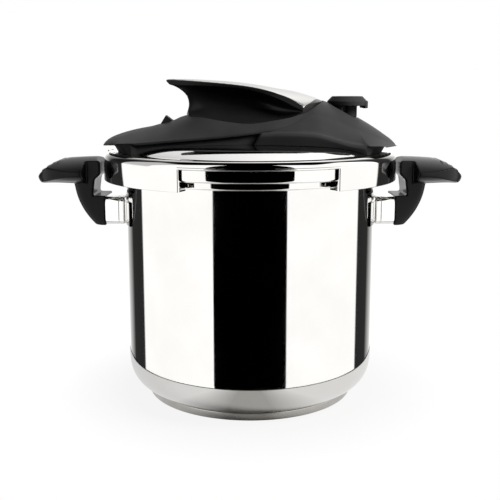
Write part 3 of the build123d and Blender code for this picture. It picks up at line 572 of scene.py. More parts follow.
def cut(piece: bpy.types.Object, cutters: Sequence[bpy.types.Object], solver: str = "EXACT") -> None:
    """Cuts closed pieces out of a piece.

    Args:
        piece: Object to cut.
        cutters: Objects to take away, which are then removed.
        solver: How the cut is worked out; thin closed sheet needs "MANIFOLD".
    """
    for cutter in cutters:
        made = piece.modifiers.new("cut", "BOOLEAN")
        made.object = cutter
        made.operation = "DIFFERENCE"
        made.solver = solver
        apply_modifiers(piece)
    for cutter in cutters:
        bpy.data.objects.remove(cutter)


def softened(
    node: bpy.types.Object, name: str, voxel_mm: float, passes: int, added: Sequence[bpy.types.Object] = (),
) -> bpy.types.Object:
    """Moulded copy of a solid: one skin with every edge rounded.

    Args:
        node: Solid that gives the form.
        name: Name of the piece.
        voxel_mm: Cell of the skin, which sets how small an edge it follows.
        passes: Smoothing passes, which set how round the edges are.
        added: Closed pieces that melt into it; they are removed.

    Returns:
        The new object.
    """
    piece = bpy.data.objects.new(name, node.data.copy())
    piece.data.materials.clear()
    bpy.context.scene.collection.objects.link(piece)
    if added:
        piece = join([piece, *added], name)
    skin = piece.modifiers.new("skin", "REMESH")
    skin.mode = "VOXEL"
    skin.voxel_size = voxel_mm * MM
    smooth = piece.modifiers.new("smooth", "SMOOTH")
    smooth.factor = 0.5
    smooth.iterations = passes
    apply_modifiers(piece)
    shade(piece, MOULDED_SHARP_DEG)
    return piece


def place(piece: bpy.types.Object, body: Body, finish: Finish, nodes: Sequence[str] = ()) -> None:
    """Dresses a piece and ties it to the part.

    Args:
        piece: Object to dress.
        body: Body that it rides on.
        finish: Its surface.
        nodes: Solids that it stands for.
    """
    piece.data.materials.clear()
    piece.data.materials.append(finish.material())
    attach(piece, body.value)
    if nodes:
        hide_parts(*nodes)
    LOG.info("%s: %d faces on %s", piece.name, len(piece.data.polygons), body.value)


# Sub-assemblies


@dataclass
class Studio:
    """Camera, floor and light, after the photograph.

    Attributes:
        camera_at: Camera place in millimetres.
        pitch_deg: How far it looks down.
        lens_mm: Focal length.
        sensor_mm: Width of the sensor.
        floor_radius: Radius of the pale stand.
        floor_depth: Thickness of the stand.
        stand_edge: Radius where the stand's dark edge begins.
        stand_colours: Colours of the stand and of its edge.
        seen_share: Shares of the stand's radius between which the camera sees it pale.
        seen_levels: How much of white the camera sees at those two places.
        glow_x: Distances to each side between which the stand's painted glow in the steel's reflections grows.
        glow_levels: Strength of that painted glow at those two places.
        card_deg: Half-angle of the black card round the camera.
        box_end_deg: Angle where the soft boxes end.
        box_level: Brightness of the soft boxes.
        gap_level: Brightness of the gap behind them.
        band_edge: Softness of the edges between box, card and gap.
        panel_y: Place of the two white panels that the camera looks between.
        panel_x: Where a panel begins and ends to each side.
        panel_z: Lower and upper edge of the panels.
        side_gain: Brightness above the cooker on the left and on the right.
        gain_x: Sideways directions between which that brightness goes over.
        gain_z: Upward directions between which it sets in.
        lamp_at: Place of the soft lamp, high on the right in front.
        lamp_aim: What the lamp looks at.
        lamp_size: Side of the lamp.
        lamp_watts: Power of the lamp.
        fill_level: Share of the surround that fills the shadows of dull surfaces.
        backdrop: Angles and brightnesses of the backdrop, which pales towards its middle.
        top_level: Brightness overhead.
        top_z: Upward directions between which that begins.
    """

    camera_at: Point3 = (0.0, -769.7, 277.1)
    pitch_deg: float = 10.96
    lens_mm: float = 61.65
    sensor_mm: float = 36.0
    floor_radius: float = 185.0
    floor_depth: float = 4.0
    stand_edge: float = 180.0
    stand_colours: tuple[str, str] = ("#5A5957", "#101010")
    seen_share: Point2 = (0.6, 0.95)
    seen_levels: Point2 = (0.9, 1.0)
    glow_x: Point2 = (20.0, 70.0)
    glow_levels: Point2 = (0.08, 0.74)
    card_deg: float = 62.0
    box_end_deg: float = 115.0
    box_level: float = 1.25
    gap_level: float = 0.025
    band_edge: float = 0.006
    backdrop: Stations = ((137.0, 0.03), (143.0, 0.3), (152.0, 0.62), (165.0, 1.25))
    panel_y: float = -265.0
    panel_x: Point2 = (132.5, 1400.0)
    panel_z: Point2 = (-250.0, 800.0)
    side_gain: Point2 = (0.5, 1.25)
    gain_x: Point2 = (-0.4, 0.4)
    gain_z: Point2 = (0.05, 0.25)
    lamp_at: Point3 = (980.0, -340.0, 1000.0)
    lamp_aim: Point3 = (0.0, 0.0, 200.0)
    lamp_size: float = 700.0
    lamp_watts: float = 100.0
    fill_level: float = 0.15
    top_level: float = 0.0
    top_z: Point2 = (0.77, 0.83)

    def build(self) -> None:
        """Makes the camera, the floor and the world."""
        self._camera()
        self._floor()
        self._panels()
        self._lamp()
        self._world()
        bpy.context.scene.view_settings.view_transform = "Standard"

    def _camera(self) -> None:
        """Places the camera at the photograph's viewpoint."""
        lens = bpy.data.cameras.new("camera")
        lens.lens = self.lens_mm
        lens.sensor_width = self.sensor_mm
        camera = bpy.data.objects.new("camera", lens)
        camera.location = Vector(self.camera_at) * MM
        camera.rotation_euler = (math.radians(90.0 - self.pitch_deg), 0.0, 0.0)
        bpy.context.scene.collection.objects.link(camera)
        bpy.context.scene.camera = camera

    def _floor(self) -> None:
        """Makes the pale stand, which the camera sees almost white; in the steel's reflections it carries a
        painted glow, brighter to each side.
        """
        floor = drill("floor", (0.0, 0.0), self.floor_radius, (-self.floor_depth, 0.0), steps=96)
        made = bpy.data.materials.new("pale_stand")
        made.use_nodes = True
        tree = made.node_tree
        tree.nodes.clear()
        path = add_node(tree, "ShaderNodeLightPath")
        spot = add_node(tree, "ShaderNodeTexCoord")
        reach = add_node(tree, "ShaderNodeVectorMath", {0: spot.outputs["Object"]}, operation="LENGTH")
        rim = add_node(
            tree, "ShaderNodeMath", {0: reach.outputs["Value"], 1: self.stand_edge * MM},
            operation="GREATER_THAN",
        )
        plain, edge = (linear(code) for code in self.stand_colours)
        dark = add_node(
            tree, "ShaderNodeMix", {0: rim.outputs["Value"], 6: plain, 7: edge}, data_type="RGBA",
        )
        pale = add_node(tree, "ShaderNodeBsdfDiffuse", {"Color": dark.outputs[2]})
        white = add_node(tree, "ShaderNodeEmission", {"Color": linear("#FFFFFF"), "Strength": 1.0})
        seen = add_node(
            tree, "ShaderNodeMapRange",
            {
                "Value": reach.outputs["Value"],
                "From Min": self.seen_share[0] * self.floor_radius * MM,
                "From Max": self.seen_share[1] * self.floor_radius * MM,
                "To Min": self.seen_levels[0], "To Max": self.seen_levels[1],
            },
        )
        # Painted glow: inside the dark rim, the stand glows white in the steel's reflections, more to each
        # side, standing in for light on the floor
        mirrored = add_node(
            tree, "ShaderNodeMath", {0: 1.0, 1: rim.outputs["Value"]}, operation="SUBTRACT",
        )
        apart = add_node(tree, "ShaderNodeSeparateXYZ", {"Vector": spot.outputs["Object"]})
        aside = add_node(tree, "ShaderNodeMath", {0: apart.outputs["X"]}, operation="ABSOLUTE")
        sides = add_node(
            tree, "ShaderNodeMapRange",
            {
                "Value": aside.outputs["Value"],
                "From Min": self.glow_x[0] * MM, "From Max": self.glow_x[1] * MM,
                "To Min": self.glow_levels[0], "To Max": self.glow_levels[1],
            },
        )
        glow = add_node(
            tree, "ShaderNodeMath", {0: mirrored.outputs["Value"], 1: sides.outputs["Result"]},
            operation="MULTIPLY",
        )
        glossy = add_node(
            tree, "ShaderNodeMath", {0: path.outputs["Is Glossy Ray"], 1: glow.outputs["Value"]},
            operation="MULTIPLY",
        )
        share = add_node(
            tree, "ShaderNodeMath",
            {0: path.outputs["Is Camera Ray"], 1: seen.outputs["Result"], 2: glossy.outputs["Value"]},
            operation="MULTIPLY_ADD",
        )
        mixed = add_node(
            tree, "ShaderNodeMixShader",
            {0: share.outputs["Value"], 1: pale.outputs["BSDF"], 2: white.outputs["Emission"]},
        )
        add_node(tree, "ShaderNodeOutputMaterial", {"Surface": mixed.outputs["Shader"]})
        floor.data.materials.append(made)

    def _panels(self) -> None:
        """Makes the two white panels beside the camera's view, which the front of the steel reflects."""
        made = bpy.data.materials.new("white_panel")
        made.use_nodes = True
        tree = made.node_tree
        tree.nodes.clear()
        glow = add_node(tree, "ShaderNodeEmission", {"Color": linear("#FFFFFF"), "Strength": self.box_level})
        add_node(tree, "ShaderNodeOutputMaterial", {"Surface": glow.outputs["Emission"]})
        for side in Side:
            near, far = (side.value * x for x in self.panel_x)
            low, high = self.panel_z
            round_edge = ((near, low), (far, low), (far, high), (near, high))
            sheet = [(x, self.panel_y, z) for x, z in round_edge]
            panel = new_piece(f"white_panel_{side.name.lower()}", sheet, [(0, 1, 2, 3)])
            panel.data.materials.append(made)
            panel.visible_camera = False
            panel.visible_shadow = False
            panel.visible_diffuse = False

    def _lamp(self) -> None:
        """Makes the soft lamp that models the black mouldings and isn't mirrored in the steel."""
        lamp = bpy.data.lights.new("soft_lamp", "AREA")
        lamp.size = self.lamp_size * MM
        lamp.energy = self.lamp_watts
        holder = bpy.data.objects.new("soft_lamp", lamp)
        holder.location = Vector(self.lamp_at) * MM
        aim = Vector(self.lamp_aim) * MM - holder.location
        holder.rotation_euler = aim.to_track_quat("-Z", "Y").to_euler()
        holder.visible_glossy = False
        holder.visible_camera = False
        bpy.context.scene.collection.objects.link(holder)

    def _world(self) -> None:
        """Makes the white surround and the soft boxes, card and gaps that the steel reflects."""
        world = bpy.data.worlds.new("studio")
        bpy.context.scene.world = world
        world.use_nodes = True
        tree = world.node_tree
        tree.nodes.clear()
        place_at = add_node(tree, "ShaderNodeTexCoord")
        split = add_node(tree, "ShaderNodeSeparateXYZ", {"Vector": place_at.outputs["Generated"]})
        flat = add_node(tree, "ShaderNodeCombineXYZ", {"X": split.outputs["X"], "Y": split.outputs["Y"]})
        around = add_node(tree, "ShaderNodeVectorMath", {0: flat.outputs["Vector"]}, operation="NORMALIZE")
        ahead = add_node(
            tree, "ShaderNodeVectorMath", {0: around.outputs["Vector"], 1: (0.0, -1.0, 0.0)},
            operation="DOT_PRODUCT",
        )
        share = add_node(tree, "ShaderNodeMapRange", {"Value": ahead.outputs["Value"], "From Min": -1.0})
        bands = add_node(tree, "ShaderNodeValToRGB", {"Fac": share.outputs["Result"]})
        levels = [
            *((self._mark(angle), level) for angle, level in reversed(self.backdrop)),
            (self._mark(self.box_end_deg) - self.band_edge, self.gap_level),
            (self._mark(self.box_end_deg) + self.band_edge, self.box_level),
            (self._mark(self.card_deg) - self.band_edge, self.box_level),
            (self._mark(self.card_deg) + self.band_edge, 0.0),
        ]
        ramp = bands.color_ramp
        while len(ramp.elements) < len(levels):
            ramp.elements.new(0.5)
        for element, (mark, level) in zip(ramp.elements, levels):
            element.position = mark
            element.color = (level, level, level, 1.0)
        high = add_node(
            tree, "ShaderNodeMapRange",
            {"Value": split.outputs["Z"], "From Min": self.top_z[0], "From Max": self.top_z[1]},
        )
        studio = add_node(
            tree, "ShaderNodeMix",
            {0: high.outputs["Result"], 6: bands.outputs["Color"], 7: (self.top_level,) * 3 + (1.0,)},
            data_type="RGBA",
        )
        across = add_node(
            tree, "ShaderNodeMapRange",
            {
                "Value": split.outputs["X"], "From Min": self.gain_x[0], "From Max": self.gain_x[1],
                "To Min": self.side_gain[0], "To Max": self.side_gain[1],
            },
        )
        gain = add_node(
            tree, "ShaderNodeMapRange",
            {
                "Value": split.outputs["Z"], "From Min": self.gain_z[0], "From Max": self.gain_z[1],
                "To Min": 1.0, "To Max": across.outputs["Result"],
            },
        )
        path = add_node(tree, "ShaderNodeLightPath")
        calm = add_node(
            tree, "ShaderNodeMapRange",
            {"Value": path.outputs["Is Diffuse Ray"], "To Min": 1.0, "To Max": self.fill_level},
        )
        power = add_node(
            tree, "ShaderNodeMath", {0: gain.outputs["Result"], 1: calm.outputs["Result"]},
            operation="MULTIPLY",
        )
        lit = add_node(
            tree, "ShaderNodeBackground",
            {"Color": studio.outputs[2], "Strength": power.outputs["Value"]},
        )
        white = add_node(tree, "ShaderNodeBackground", {"Color": linear("#FFFFFF"), "Strength": 1.0})
        mixed = add_node(
            tree, "ShaderNodeMixShader",
            {0: path.outputs["Is Camera Ray"], 1: lit.outputs["Background"], 2: white.outputs["Background"]},
        )
        add_node(tree, "ShaderNodeOutputWorld", {"Surface": mixed.outputs["Shader"]})

    @staticmethod
    def _mark(angle_deg: float) -> float:
        """Place on the ramp of an angle from the camera's side."""
        return (math.cos(math.radians(angle_deg)) + 1) / 2


@dataclass
class Pot:
    """Drawn steel pot with its rolled rim, lugs and capped base."""

    # Wall, floor and the drawn corner between them
    bore: float = 110.0
    radius: float = POT_RADIUS
    floor_z: float = 6.0
    corner: float = 31.5
    corner_order: float = 2.5
    corner_steps: int = 40
    # Rolled rim
    rim_z: float = 203.0
    bead_radius: float = 114.5
    bead_bottom: float = 196.2
    bead_round: float = 1.7
    # Lugs that hold the lid down, and the notch that the bolt slides into
    lug_radius: float = 125.9
    lug_z: float = 197.0
    lug_top: float = 199.6
    lug_half_deg: float = 7.5
    lug_round: float = 0.5
    lug_root: float = 0.4
    notch_radius: float = 121.7
    notch_half_deg: float = 2.1
    # Steel cap under the base
    cap_radius: float = 93.0
    cap_top: float = 6.9
    cap_sheet: float = 0.8
    cap_foot_round: float = 1.6

    def build(self) -> None:
        """Builds and dresses the pot."""
        sheet = self.radius - self.bore
        inner_z = self.floor_z + sheet
        shell = lathe("pot_shell", rounded([
            (0.0, self.floor_z, 0), *self._corner(self.radius, self.floor_z, self.corner),
            (self.radius, self.bead_bottom, 0.6), (self.bead_radius, self.bead_bottom, self.bead_round),
            (self.bead_radius, self.rim_z, self.bead_round), (self.bore, self.rim_z, 1.2),
            *reversed(self._corner(self.bore, inner_z, self.corner - sheet)), (0.0, inner_z, 0),
        ], steps=14), steps=SHEET_STEPS)
        lugs = [piece for angle in LUG_ANGLES for piece in self._lug(angle)]
        pot = join([shell, *lugs], "pot_shell")
        place(pot, Body.POT, MIRROR_STEEL, ["pot_body"])
        shade(pot, SHEET_SHARP_DEG)
        inner = self.cap_radius - self.cap_sheet
        cap = lathe("base_disc_cap", rounded([
            (0.0, 0.0, 0), (self.cap_radius, 0.0, self.cap_foot_round),
            (self.cap_radius, self.cap_top, self.cap_sheet), (inner, self.cap_top, 0),
            (inner, self.cap_sheet, 0), (0.0, self.cap_sheet, 0),
        ]), steps=256)
        place(cap, Body.POT, BRUSHED_STEEL, ["base_cap"])

    def _corner(self, radius: float, low: float, reach: float) -> list[Point3]:
        """Drawn corner between floor and wall, tightening gently so that reflections run round it unbroken.

        Args:
            radius: Radius of the wall.
            low: Height of the floor.
            reach: How far the corner reaches up the wall and along the floor.

        Returns:
            Radius, height and no further rounding of each point.
        """
        power = 2.0 / self.corner_order
        points = []
        for t in np.linspace(0.0, math.pi / 2, self.corner_steps):
            out = radius - reach + reach * math.sin(t) ** power
            up = low + reach - reach * max(0.0, math.cos(t)) ** power
            points.append((out, up, 0.0))
        return points

    def _lug(self, angle: float) -> list[bpy.types.Object]:
        """One lug on the rim; the left one has a notch for the bolt.

        Args:
            angle: Middle of the lug in degrees.

        Returns:
            The pieces of the lug.
        """
        notched = angle == NOTCHED_LUG
        outer = self.notch_radius if notched else self.lug_radius
        spans = [(angle - self.lug_half_deg, 2 * self.lug_half_deg, self.bore + self.lug_root, outer)]
        if notched:
            width = self.lug_half_deg - self.notch_half_deg
            spans.append((angle - self.lug_half_deg, width, self.notch_radius, self.lug_radius))
            spans.append((angle + self.notch_half_deg, width, self.notch_radius, self.lug_radius))
        return [
            lathe("lug", rounded([
                (inner, self.lug_z, 0), (reach, self.lug_z, self.lug_round),
                (reach, self.lug_top, self.lug_round), (inner, self.lug_top, 0),
            ], steps=3), start, sweep, steps=SHEET_STEPS)
            for start, sweep, inner, reach in spans
        ]


@dataclass
class Lid:
    """Pressed steel lid with its bayonet ring, windows and gasket."""

    # Crowned middle, the knuckle round it and the flat land
    apex_z: float = 229.6
    deck_z: float = 219.5
    crown_radius: float = 1190.0
    knuckle: float = 90.0
    land: float = 117.0
    # Bayonet ring with its shoulder and lips
    ring: float = 129.4
    sheet: float = 1.0
    shoulder: float = 6.4
    hoop_z: float = 213.7
    bottom_z: float = 195.4
    lip: float = 116.5
    lip_half_deg: float = 8.5
    lip_sheet: float = 1.2
    lip_root: float = 0.6
    # Windows in the ring, as angles
    window_turn: float = 3.6
    window_half: float = 29.2
    # Channel of the gasket, which bulges where it shows in the windows
    channel: float = 122.0
    band: float = 125.6
    channel_bottom: float = 202.6
    channel_top: float = 214.3
    channel_low: float = 205.2
    bulge_round: float = 2.4
    bulge_sheet: float = 2.0
    bulge_deg: float = 2.0
    # Holes and seats of the valves, and the slot of the bolt
    neck_hole: float = 5.15
    pad_rise: float = 0.9
    pad_depth: float = 2.4
    slot: Point2 = (122.1, 128.2)
    slot_half_deg: float = 2.06
    slot_z: Point2 = (212.0, 222.0)
    hole_z: Point2 = (200.0, 240.0)
    valve_pads: tuple[tuple[Point2, float, float], ...] = ((VALVE_AT, 11.5, 5.15), (INDICATOR_AT, 8.5, 4.75))
    # Gasket
    gasket_z: float = 203.3
    gasket_gap: float = 2.3
    # Folds and rolled edges that finish the windows
    fold_deg: float = 0.5
    fold_sheet: float = 0.8
    fold_clear: float = 126.6
    fold_z: float = 200.4
    fold_steps: int = 10
    fold_gap: float = 0.1
    lip_roll: float = 0.9

    def surface(self, radius: float) -> float:
        """Height of the lid's outer surface.

        Args:
            radius: Distance from the axis.

        Returns:
            The height there.
        """
        if radius <= self.knuckle:
            return self._dome(radius)
        if radius < self.land:
            return float(np.interp(radius, *zip(*self._knuckle_arc(0.0))))
        return self.deck_z

    def _dome(self, radius: float) -> float:
        """Height of the crowned middle at a radius."""
        return self.apex_z - self.crown_radius + math.sqrt(self.crown_radius ** 2 - radius ** 2)

    def _windows(self) -> Point2:
        """Middles of the two windows in degrees."""
        return (90.0 + self.window_turn, 270.0 + self.window_turn)

    def _knuckle_arc(self, rise: float) -> list[Point2]:
        """Points of the arc from the dome down to the land.

        Args:
            rise: Height added to every point.

        Returns:
            Radius and height of each point.
        """
        tilt = math.asin(self.knuckle / self.crown_radius)
        start = Vector((self.knuckle, self._dome(self.knuckle)))
        end = Vector((self.land, self.deck_z))
        chord = end - start
        drop = math.atan2(-chord.y, chord.x)
        radius = chord.length / (2 * math.sin(drop - tilt))
        centre = start + Vector((-math.sin(tilt), -math.cos(tilt))) * radius
        turns = np.linspace(tilt, 2 * drop - tilt, 14)
        return [(centre.x + radius * math.sin(t), centre.y + radius * math.cos(t) + rise) for t in turns]

    def _top(self, rise: float) -> list[Point2]:
        """Dome and knuckle from the safety valve's hole to the land, raised by an amount."""
        dome = [(r, self._dome(r) + rise) for r in np.linspace(self.neck_hole, self.knuckle, 18)[:-1]]
        return dome + self._knuckle_arc(rise)

    def build(self) -> None:
        """Builds and dresses the lid."""
        pieces = [self._shell(), *(self._pad(*seat) for seat in self.valve_pads)]
        for window in self._windows():
            pieces += self._ring(window)
        for angle in LUG_ANGLES:
            pieces.append(self._lip(angle))
        lid = join(pieces, "lid_steel")
        place(lid, Body.LID, MIRROR_STEEL, ["lid_shell"])
        shade(lid, SHEET_SHARP_DEG)
        place(join(self._channel(), "gasket_channel"), Body.LID, MIRROR_STEEL)
        place(self._gasket(), Body.LID, SILICONE, ["gasket"])

    def _shell(self) -> bpy.types.Object:
        """Dome, land and shoulder in one sheet, pierced for the valves and the bolt.

        Returns:
            The shell.
        """
        inner, inner_z = self.ring - self.sheet, self.deck_z - self.sheet
        edge = rounded([
            (self.land, self.deck_z, 0), (self.ring, self.deck_z, self.shoulder),
            (self.ring, self.hoop_z, 0.3), (inner, self.hoop_z, 0.3),
            (inner, inner_z, self.shoulder - self.sheet), (self.land, inner_z, 0),
        ], steps=10)
        outline = self._top(0.0)[:-1] + edge + self._top(-self.sheet)[:-1][::-1]
        shell = lathe("lid_dome", outline, steps=SHEET_STEPS)
        holes = [drill("hole", at, hole, self.hole_z) for at, _, hole in self.valve_pads]
        (near, far), (low, high) = self.slot, self.slot_z
        slot = lathe(
            "slot", [(near, low), (far, low), (far, high), (near, high)], NOTCHED_LUG - self.slot_half_deg,
            2 * self.slot_half_deg, steps=720,
        )
        cut(shell, [*holes, slot], "MANIFOLD")
        return shell

    def _ring(self, window: float) -> list[bpy.types.Object]:
        """Bayonet ring from the end of a window to the next, with its folds and the window's rolled edge.

        Args:
            window: Middle of the window in degrees.

        Returns:
            The pieces of the ring.
        """
        start, sweep = window + self.window_half, 180.0 - 2 * self.window_half
        inner = self.ring - self.sheet
        wall = lathe("ring_wall", rounded([
            (self.ring, self.bottom_z, 0.5), (self.ring, self.hoop_z, 0),
            (inner, self.hoop_z, 0), (inner, self.bottom_z, 0),
        ], steps=3), start, sweep, steps=SHEET_STEPS)
        folds = [self._return_flange(start, -1), self._return_flange(start + sweep, 1)]
        return [wall, *folds, self._rolled_lip(window)]

    def _lip(self, angle: float) -> bpy.types.Object:
        """Inward lip of the ring, which catches under a lug.

        Args:
            angle: Middle of the lip in degrees.

        Returns:
            The lip.
        """
        root, top = self.ring - self.lip_root, self.bottom_z + self.lip_sheet
        outline = rounded([
            (self.lip, self.bottom_z, 0.4), (root, self.bottom_z, 0), (root, top, 0), (self.lip, top, 0.4),
        ], steps=3)
        return lathe("ring_lip", outline, angle - self.lip_half_deg, 2 * self.lip_half_deg, steps=SHEET_STEPS)

    def _gasket(self) -> bpy.types.Object:
        """Silicone ring with an upper flap and a longer lower one, which the steam presses down.

        Returns:
            The gasket.
        """
        back = self.channel - self.gasket_gap
        low, flap, upper, top = (self.gasket_z + rise for rise in (0.0, 2.4, 11.8, 14.2))
        web, short, long = (back - depth for depth in (3.0, 6.3, 11.6))
        return lathe("gasket_ring", rounded([
            (back, low, 0.8), (back, top, 0.8), (short, top, 0.8), (short, upper, 0.6),
            (web, upper, 0.8), (web, flap, 0.8), (long, flap, 0.6), (long, low, 0.6),
        ], steps=4), steps=256)

    def _pad(self, at: Point2, radius: float, hole: float) -> bpy.types.Object:
        """Raised seat of a valve, pierced for its neck.

        Args:
            at: Place of the valve in plan.
            radius: Radius of the seat.
            hole: Radius of the hole.

        Returns:
            The seat.
        """
        top = self.surface(min(math.hypot(*at), self.knuckle)) + self.pad_rise
        low = top - self.pad_rise - self.pad_depth
        outline = rounded([(hole, low, 0), (radius, low, 0), (radius, top, 0.4), (hole, top, 0)], steps=3)
        return lathe("valve_pad", outline, steps=64, centre=at)

    def _channel(self) -> list[bpy.types.Object]:
        """Wall that holds the gasket: bulged where it shows in the windows, plain where the bolt passes.

        Returns:
            The pieces of the wall.
        """
        reach = self.window_half + self.bulge_deg
        back, top = self.channel - self.bulge_sheet, self.deck_z - self.sheet
        inner = self.channel - self.sheet
        walls = []
        for window in self._windows():
            walls.append(lathe("bulge", rounded([
                (back, self.channel_bottom, 0.3), (self.band, self.channel_bottom, self.bulge_round),
                (self.band, self.channel_top, self.bulge_round), (back + 0.5, self.channel_top, 0),
                (back + 0.5, top, 0), (back, top, 0),
            ], steps=8), window - reach, 2 * reach, steps=SHEET_STEPS))
            walls.append(lathe("wall", rounded([
                (inner, self.channel_low, 0.3), (self.channel, self.channel_low, 0.3),
                (self.channel, top, 0), (inner, top, 0),
            ], steps=3), window + reach, 180.0 - 2 * reach, steps=SHEET_STEPS))
        return walls

    def _rolled_lip(self, window: float) -> bpy.types.Object:
        """Rolled edge of the hoop over a window.

        Args:
            window: Middle of the window in degrees.

        Returns:
            The rolled edge.
        """
        section = [
            (self.ring - 0.5 + self.lip_roll * math.cos(t), self.hoop_z + 0.2 + self.lip_roll * math.sin(t))
            for t in np.linspace(0.0, 2 * math.pi, 12, endpoint=False)
        ]
        return lathe("rolled_lip", section, window - self.window_half, 2 * self.window_half, steps=SHEET_STEPS)

    def _return_flange(self, angle: float, turn: int) -> bpy.types.Object:
        """Curved fold of the ring that closes the end of a window, clear of the lugs when the lid turns.

        Args:
            angle: Where the ring ends, in degrees.
            turn: One when the window lies at greater angles, else minus one.

        Returns:
            The fold.
        """
        verts = []
        for t in np.linspace(0.0, math.pi / 2, self.fold_steps):
            reach = self.ring - (self.ring - self.band - self.fold_gap) * (1 - math.cos(t))
            at = math.radians(angle + turn * self.fold_deg * math.sin(t))
            bottom = self.bottom_z if reach > self.fold_clear else self.fold_z
            inset = self.fold_sheet * math.cos(t)
            back = at - turn * self.fold_sheet * math.sin(t) / reach
            outer = (reach * math.cos(at), reach * math.sin(at))
            inner = ((reach - inset) * math.cos(back), (reach - inset) * math.sin(back))
            verts += [(*outer, bottom), (*outer, self.hoop_z), (*inner, self.hoop_z), (*inner, bottom)]
        return new_piece("ring_fold", verts, rings_to_faces(self.fold_steps, 4, False))


@dataclass
class SideHandle:
    """One side handle with its bracket, ferrule and screw.

    Attributes:
        side: Which handle it is.
        nodes: Solids of the part by name.
    """

    side: Side
    nodes: dict[str, bpy.types.Object]
    # Height of the post, and the bracket's plate on the pot
    handle_z: float = 167.2
    bracket: float = 112.6
    bracket_root: float = POT_RADIUS + 0.05
    bracket_half_deg: float = 23.0
    bracket_half_z: float = 10.4
    # Steel sleeve, with its distance and inset along the groove
    ferrule_half: Point2 = (19.2, 12.6)
    ferrule_corner: float = 6.0
    ferrule_drop: float = 0.4
    ferrule_sheet: float = 1.4
    ferrule_ease: float = 8.0
    ferrule_stations: Stations = (
        (112.9, 0.7), (113.2, 0.2), (113.6, 0.0), (113.8, 0.0), (115.6, 0.0), (115.8, 0.0), (116.1, 0.2),
        (116.2, 0.7), (116.7, 0.7), (116.8, 0.2), (117.1, 0.0), (117.3, 0.0), (131.4, 0.0), (131.6, 0.0),
        (132.3, 0.2), (132.5, 0.6),
    )
    # Ribs across the paddle
    rib_x: tuple[float, ...] = (168.0, 172.3, 176.6, 180.9)
    rib_half: float = 24.0
    rib_radius: float = 1.3
    rib_sink: float = 0.2
    rib_steps: tuple[int, int] = (9, 10)
    paddle_top: Stations = ((157.0, 213.7), (168.0, 211.6), (177.5, 207.8), (184.0, 202.6), (189.5, 195.7))
    crown_z: float = 213.7
    crown_fall: float = 128.0
    # Rounding of the paddle's end
    belly_z: float = 188.5
    ease_x: Point2 = (136.0, 180.0)
    lift_z: Point2 = (178.0, 187.0)
    nose_x: Point2 = (165.0, 192.0)
    nose_share: float = 0.4
    nose_pull: float = 6.0
    nose_drop: float = 4.0
    tip_rise: float = 2.0
    tip_drop: float = 1.6

    def build(self) -> None:
        """Builds and dresses the handle."""
        tag = self.side.name.lower()
        ribs = join([self._rib(x) for x in self.rib_x], f"handle_ribs_{tag}")
        shade(ribs, MOULDED_SHARP_DEG)
        place(ribs, Body.POT, POLISHED_PHENOLIC)
        handle = softened(self.nodes[f"side_handle_{tag}"], f"moulded_handle_{tag}", 0.8, 6)
        for vertex in handle.data.vertices:
            x, z = self._eased(abs(vertex.co.x) / MM, vertex.co.z / MM)
            vertex.co.x, vertex.co.z = self.side.value * x * MM, z * MM
        place(handle, Body.POT, POLISHED_PHENOLIC, [f"side_handle_{tag}"])
        place(self._ferrule(tag), Body.POT, SATIN_STEEL, [f"ferrule_{tag}"])
        place(self._plate(tag), Body.POT, MIRROR_STEEL, [f"bracket_{tag}"])

    def _plate(self, tag: str) -> bpy.types.Object:
        """Curved steel plate of the bracket, which lies on the pot's wall.

        Args:
            tag: Which side, for the name.

        Returns:
            The plate.
        """
        low, high = self.handle_z - self.bracket_half_z, self.handle_z + self.bracket_half_z
        outline = rounded([
            (self.bracket_root, low, 0), (self.bracket, low, 0.6),
            (self.bracket, high, 0.6), (self.bracket_root, high, 0),
        ], steps=4)
        middle = 0.0 if self.side is Side.RIGHT else 180.0
        start = middle - self.bracket_half_deg
        return lathe(f"handle_bracket_{tag}", outline, start, 2 * self.bracket_half_deg, steps=SHEET_STEPS)

    def _rib(self, x: float) -> bpy.types.Object:
        """Grip rib across the top of the paddle.

        Args:
            x: Distance of the rib from the axis.

        Returns:
            The rib.
        """
        along, around = self.rib_steps
        paddle = float(through(self.paddle_top, x))
        verts = []
        for y in np.linspace(-self.rib_half, self.rib_half, along):
            ease = max(0.0, 1.0 - (abs(y) / self.rib_half) ** 6)
            reach = self.rib_radius * (0.4 + 0.6 * ease)
            _, top = self._eased(x, min(paddle, self.crown_z - y * y / self.crown_fall))
            for k in range(around):
                turn = 2 * math.pi * k / around
                out = self.side.value * (x + reach * math.cos(turn))
                verts.append((out, y, top - self.rib_sink + reach * math.sin(turn)))
        return new_piece("rib", verts, rings_to_faces(along, around, False))

    def _eased(self, x: float, z: float) -> Point2:
        """Place of a point after the paddle's end is rounded off.

        Args:
            x: Distance of the point from the axis.
            z: Its height on the solid.

        Returns:
            Distance and height on the moulding.
        """
        if x < self.ease_x[0]:
            return x, z
        share = min(1.0, max(0.0, (z - self.belly_z) / (self.crown_z - self.belly_z)))
        out = smooth_step(x, *self.ease_x)
        tip = smooth_step(x, *self.nose_x)
        below = max(0.0, 1.0 - share / self.nose_share)
        nose = self.nose_pull * tip * (1.0 - math.sqrt(1.0 - below * below))
        lift = (1.0 - share) * self.tip_rise * out * smooth_step(z, *self.lift_z)
        return x - nose, z + lift - share * self.tip_drop * out - self.nose_drop * share * tip

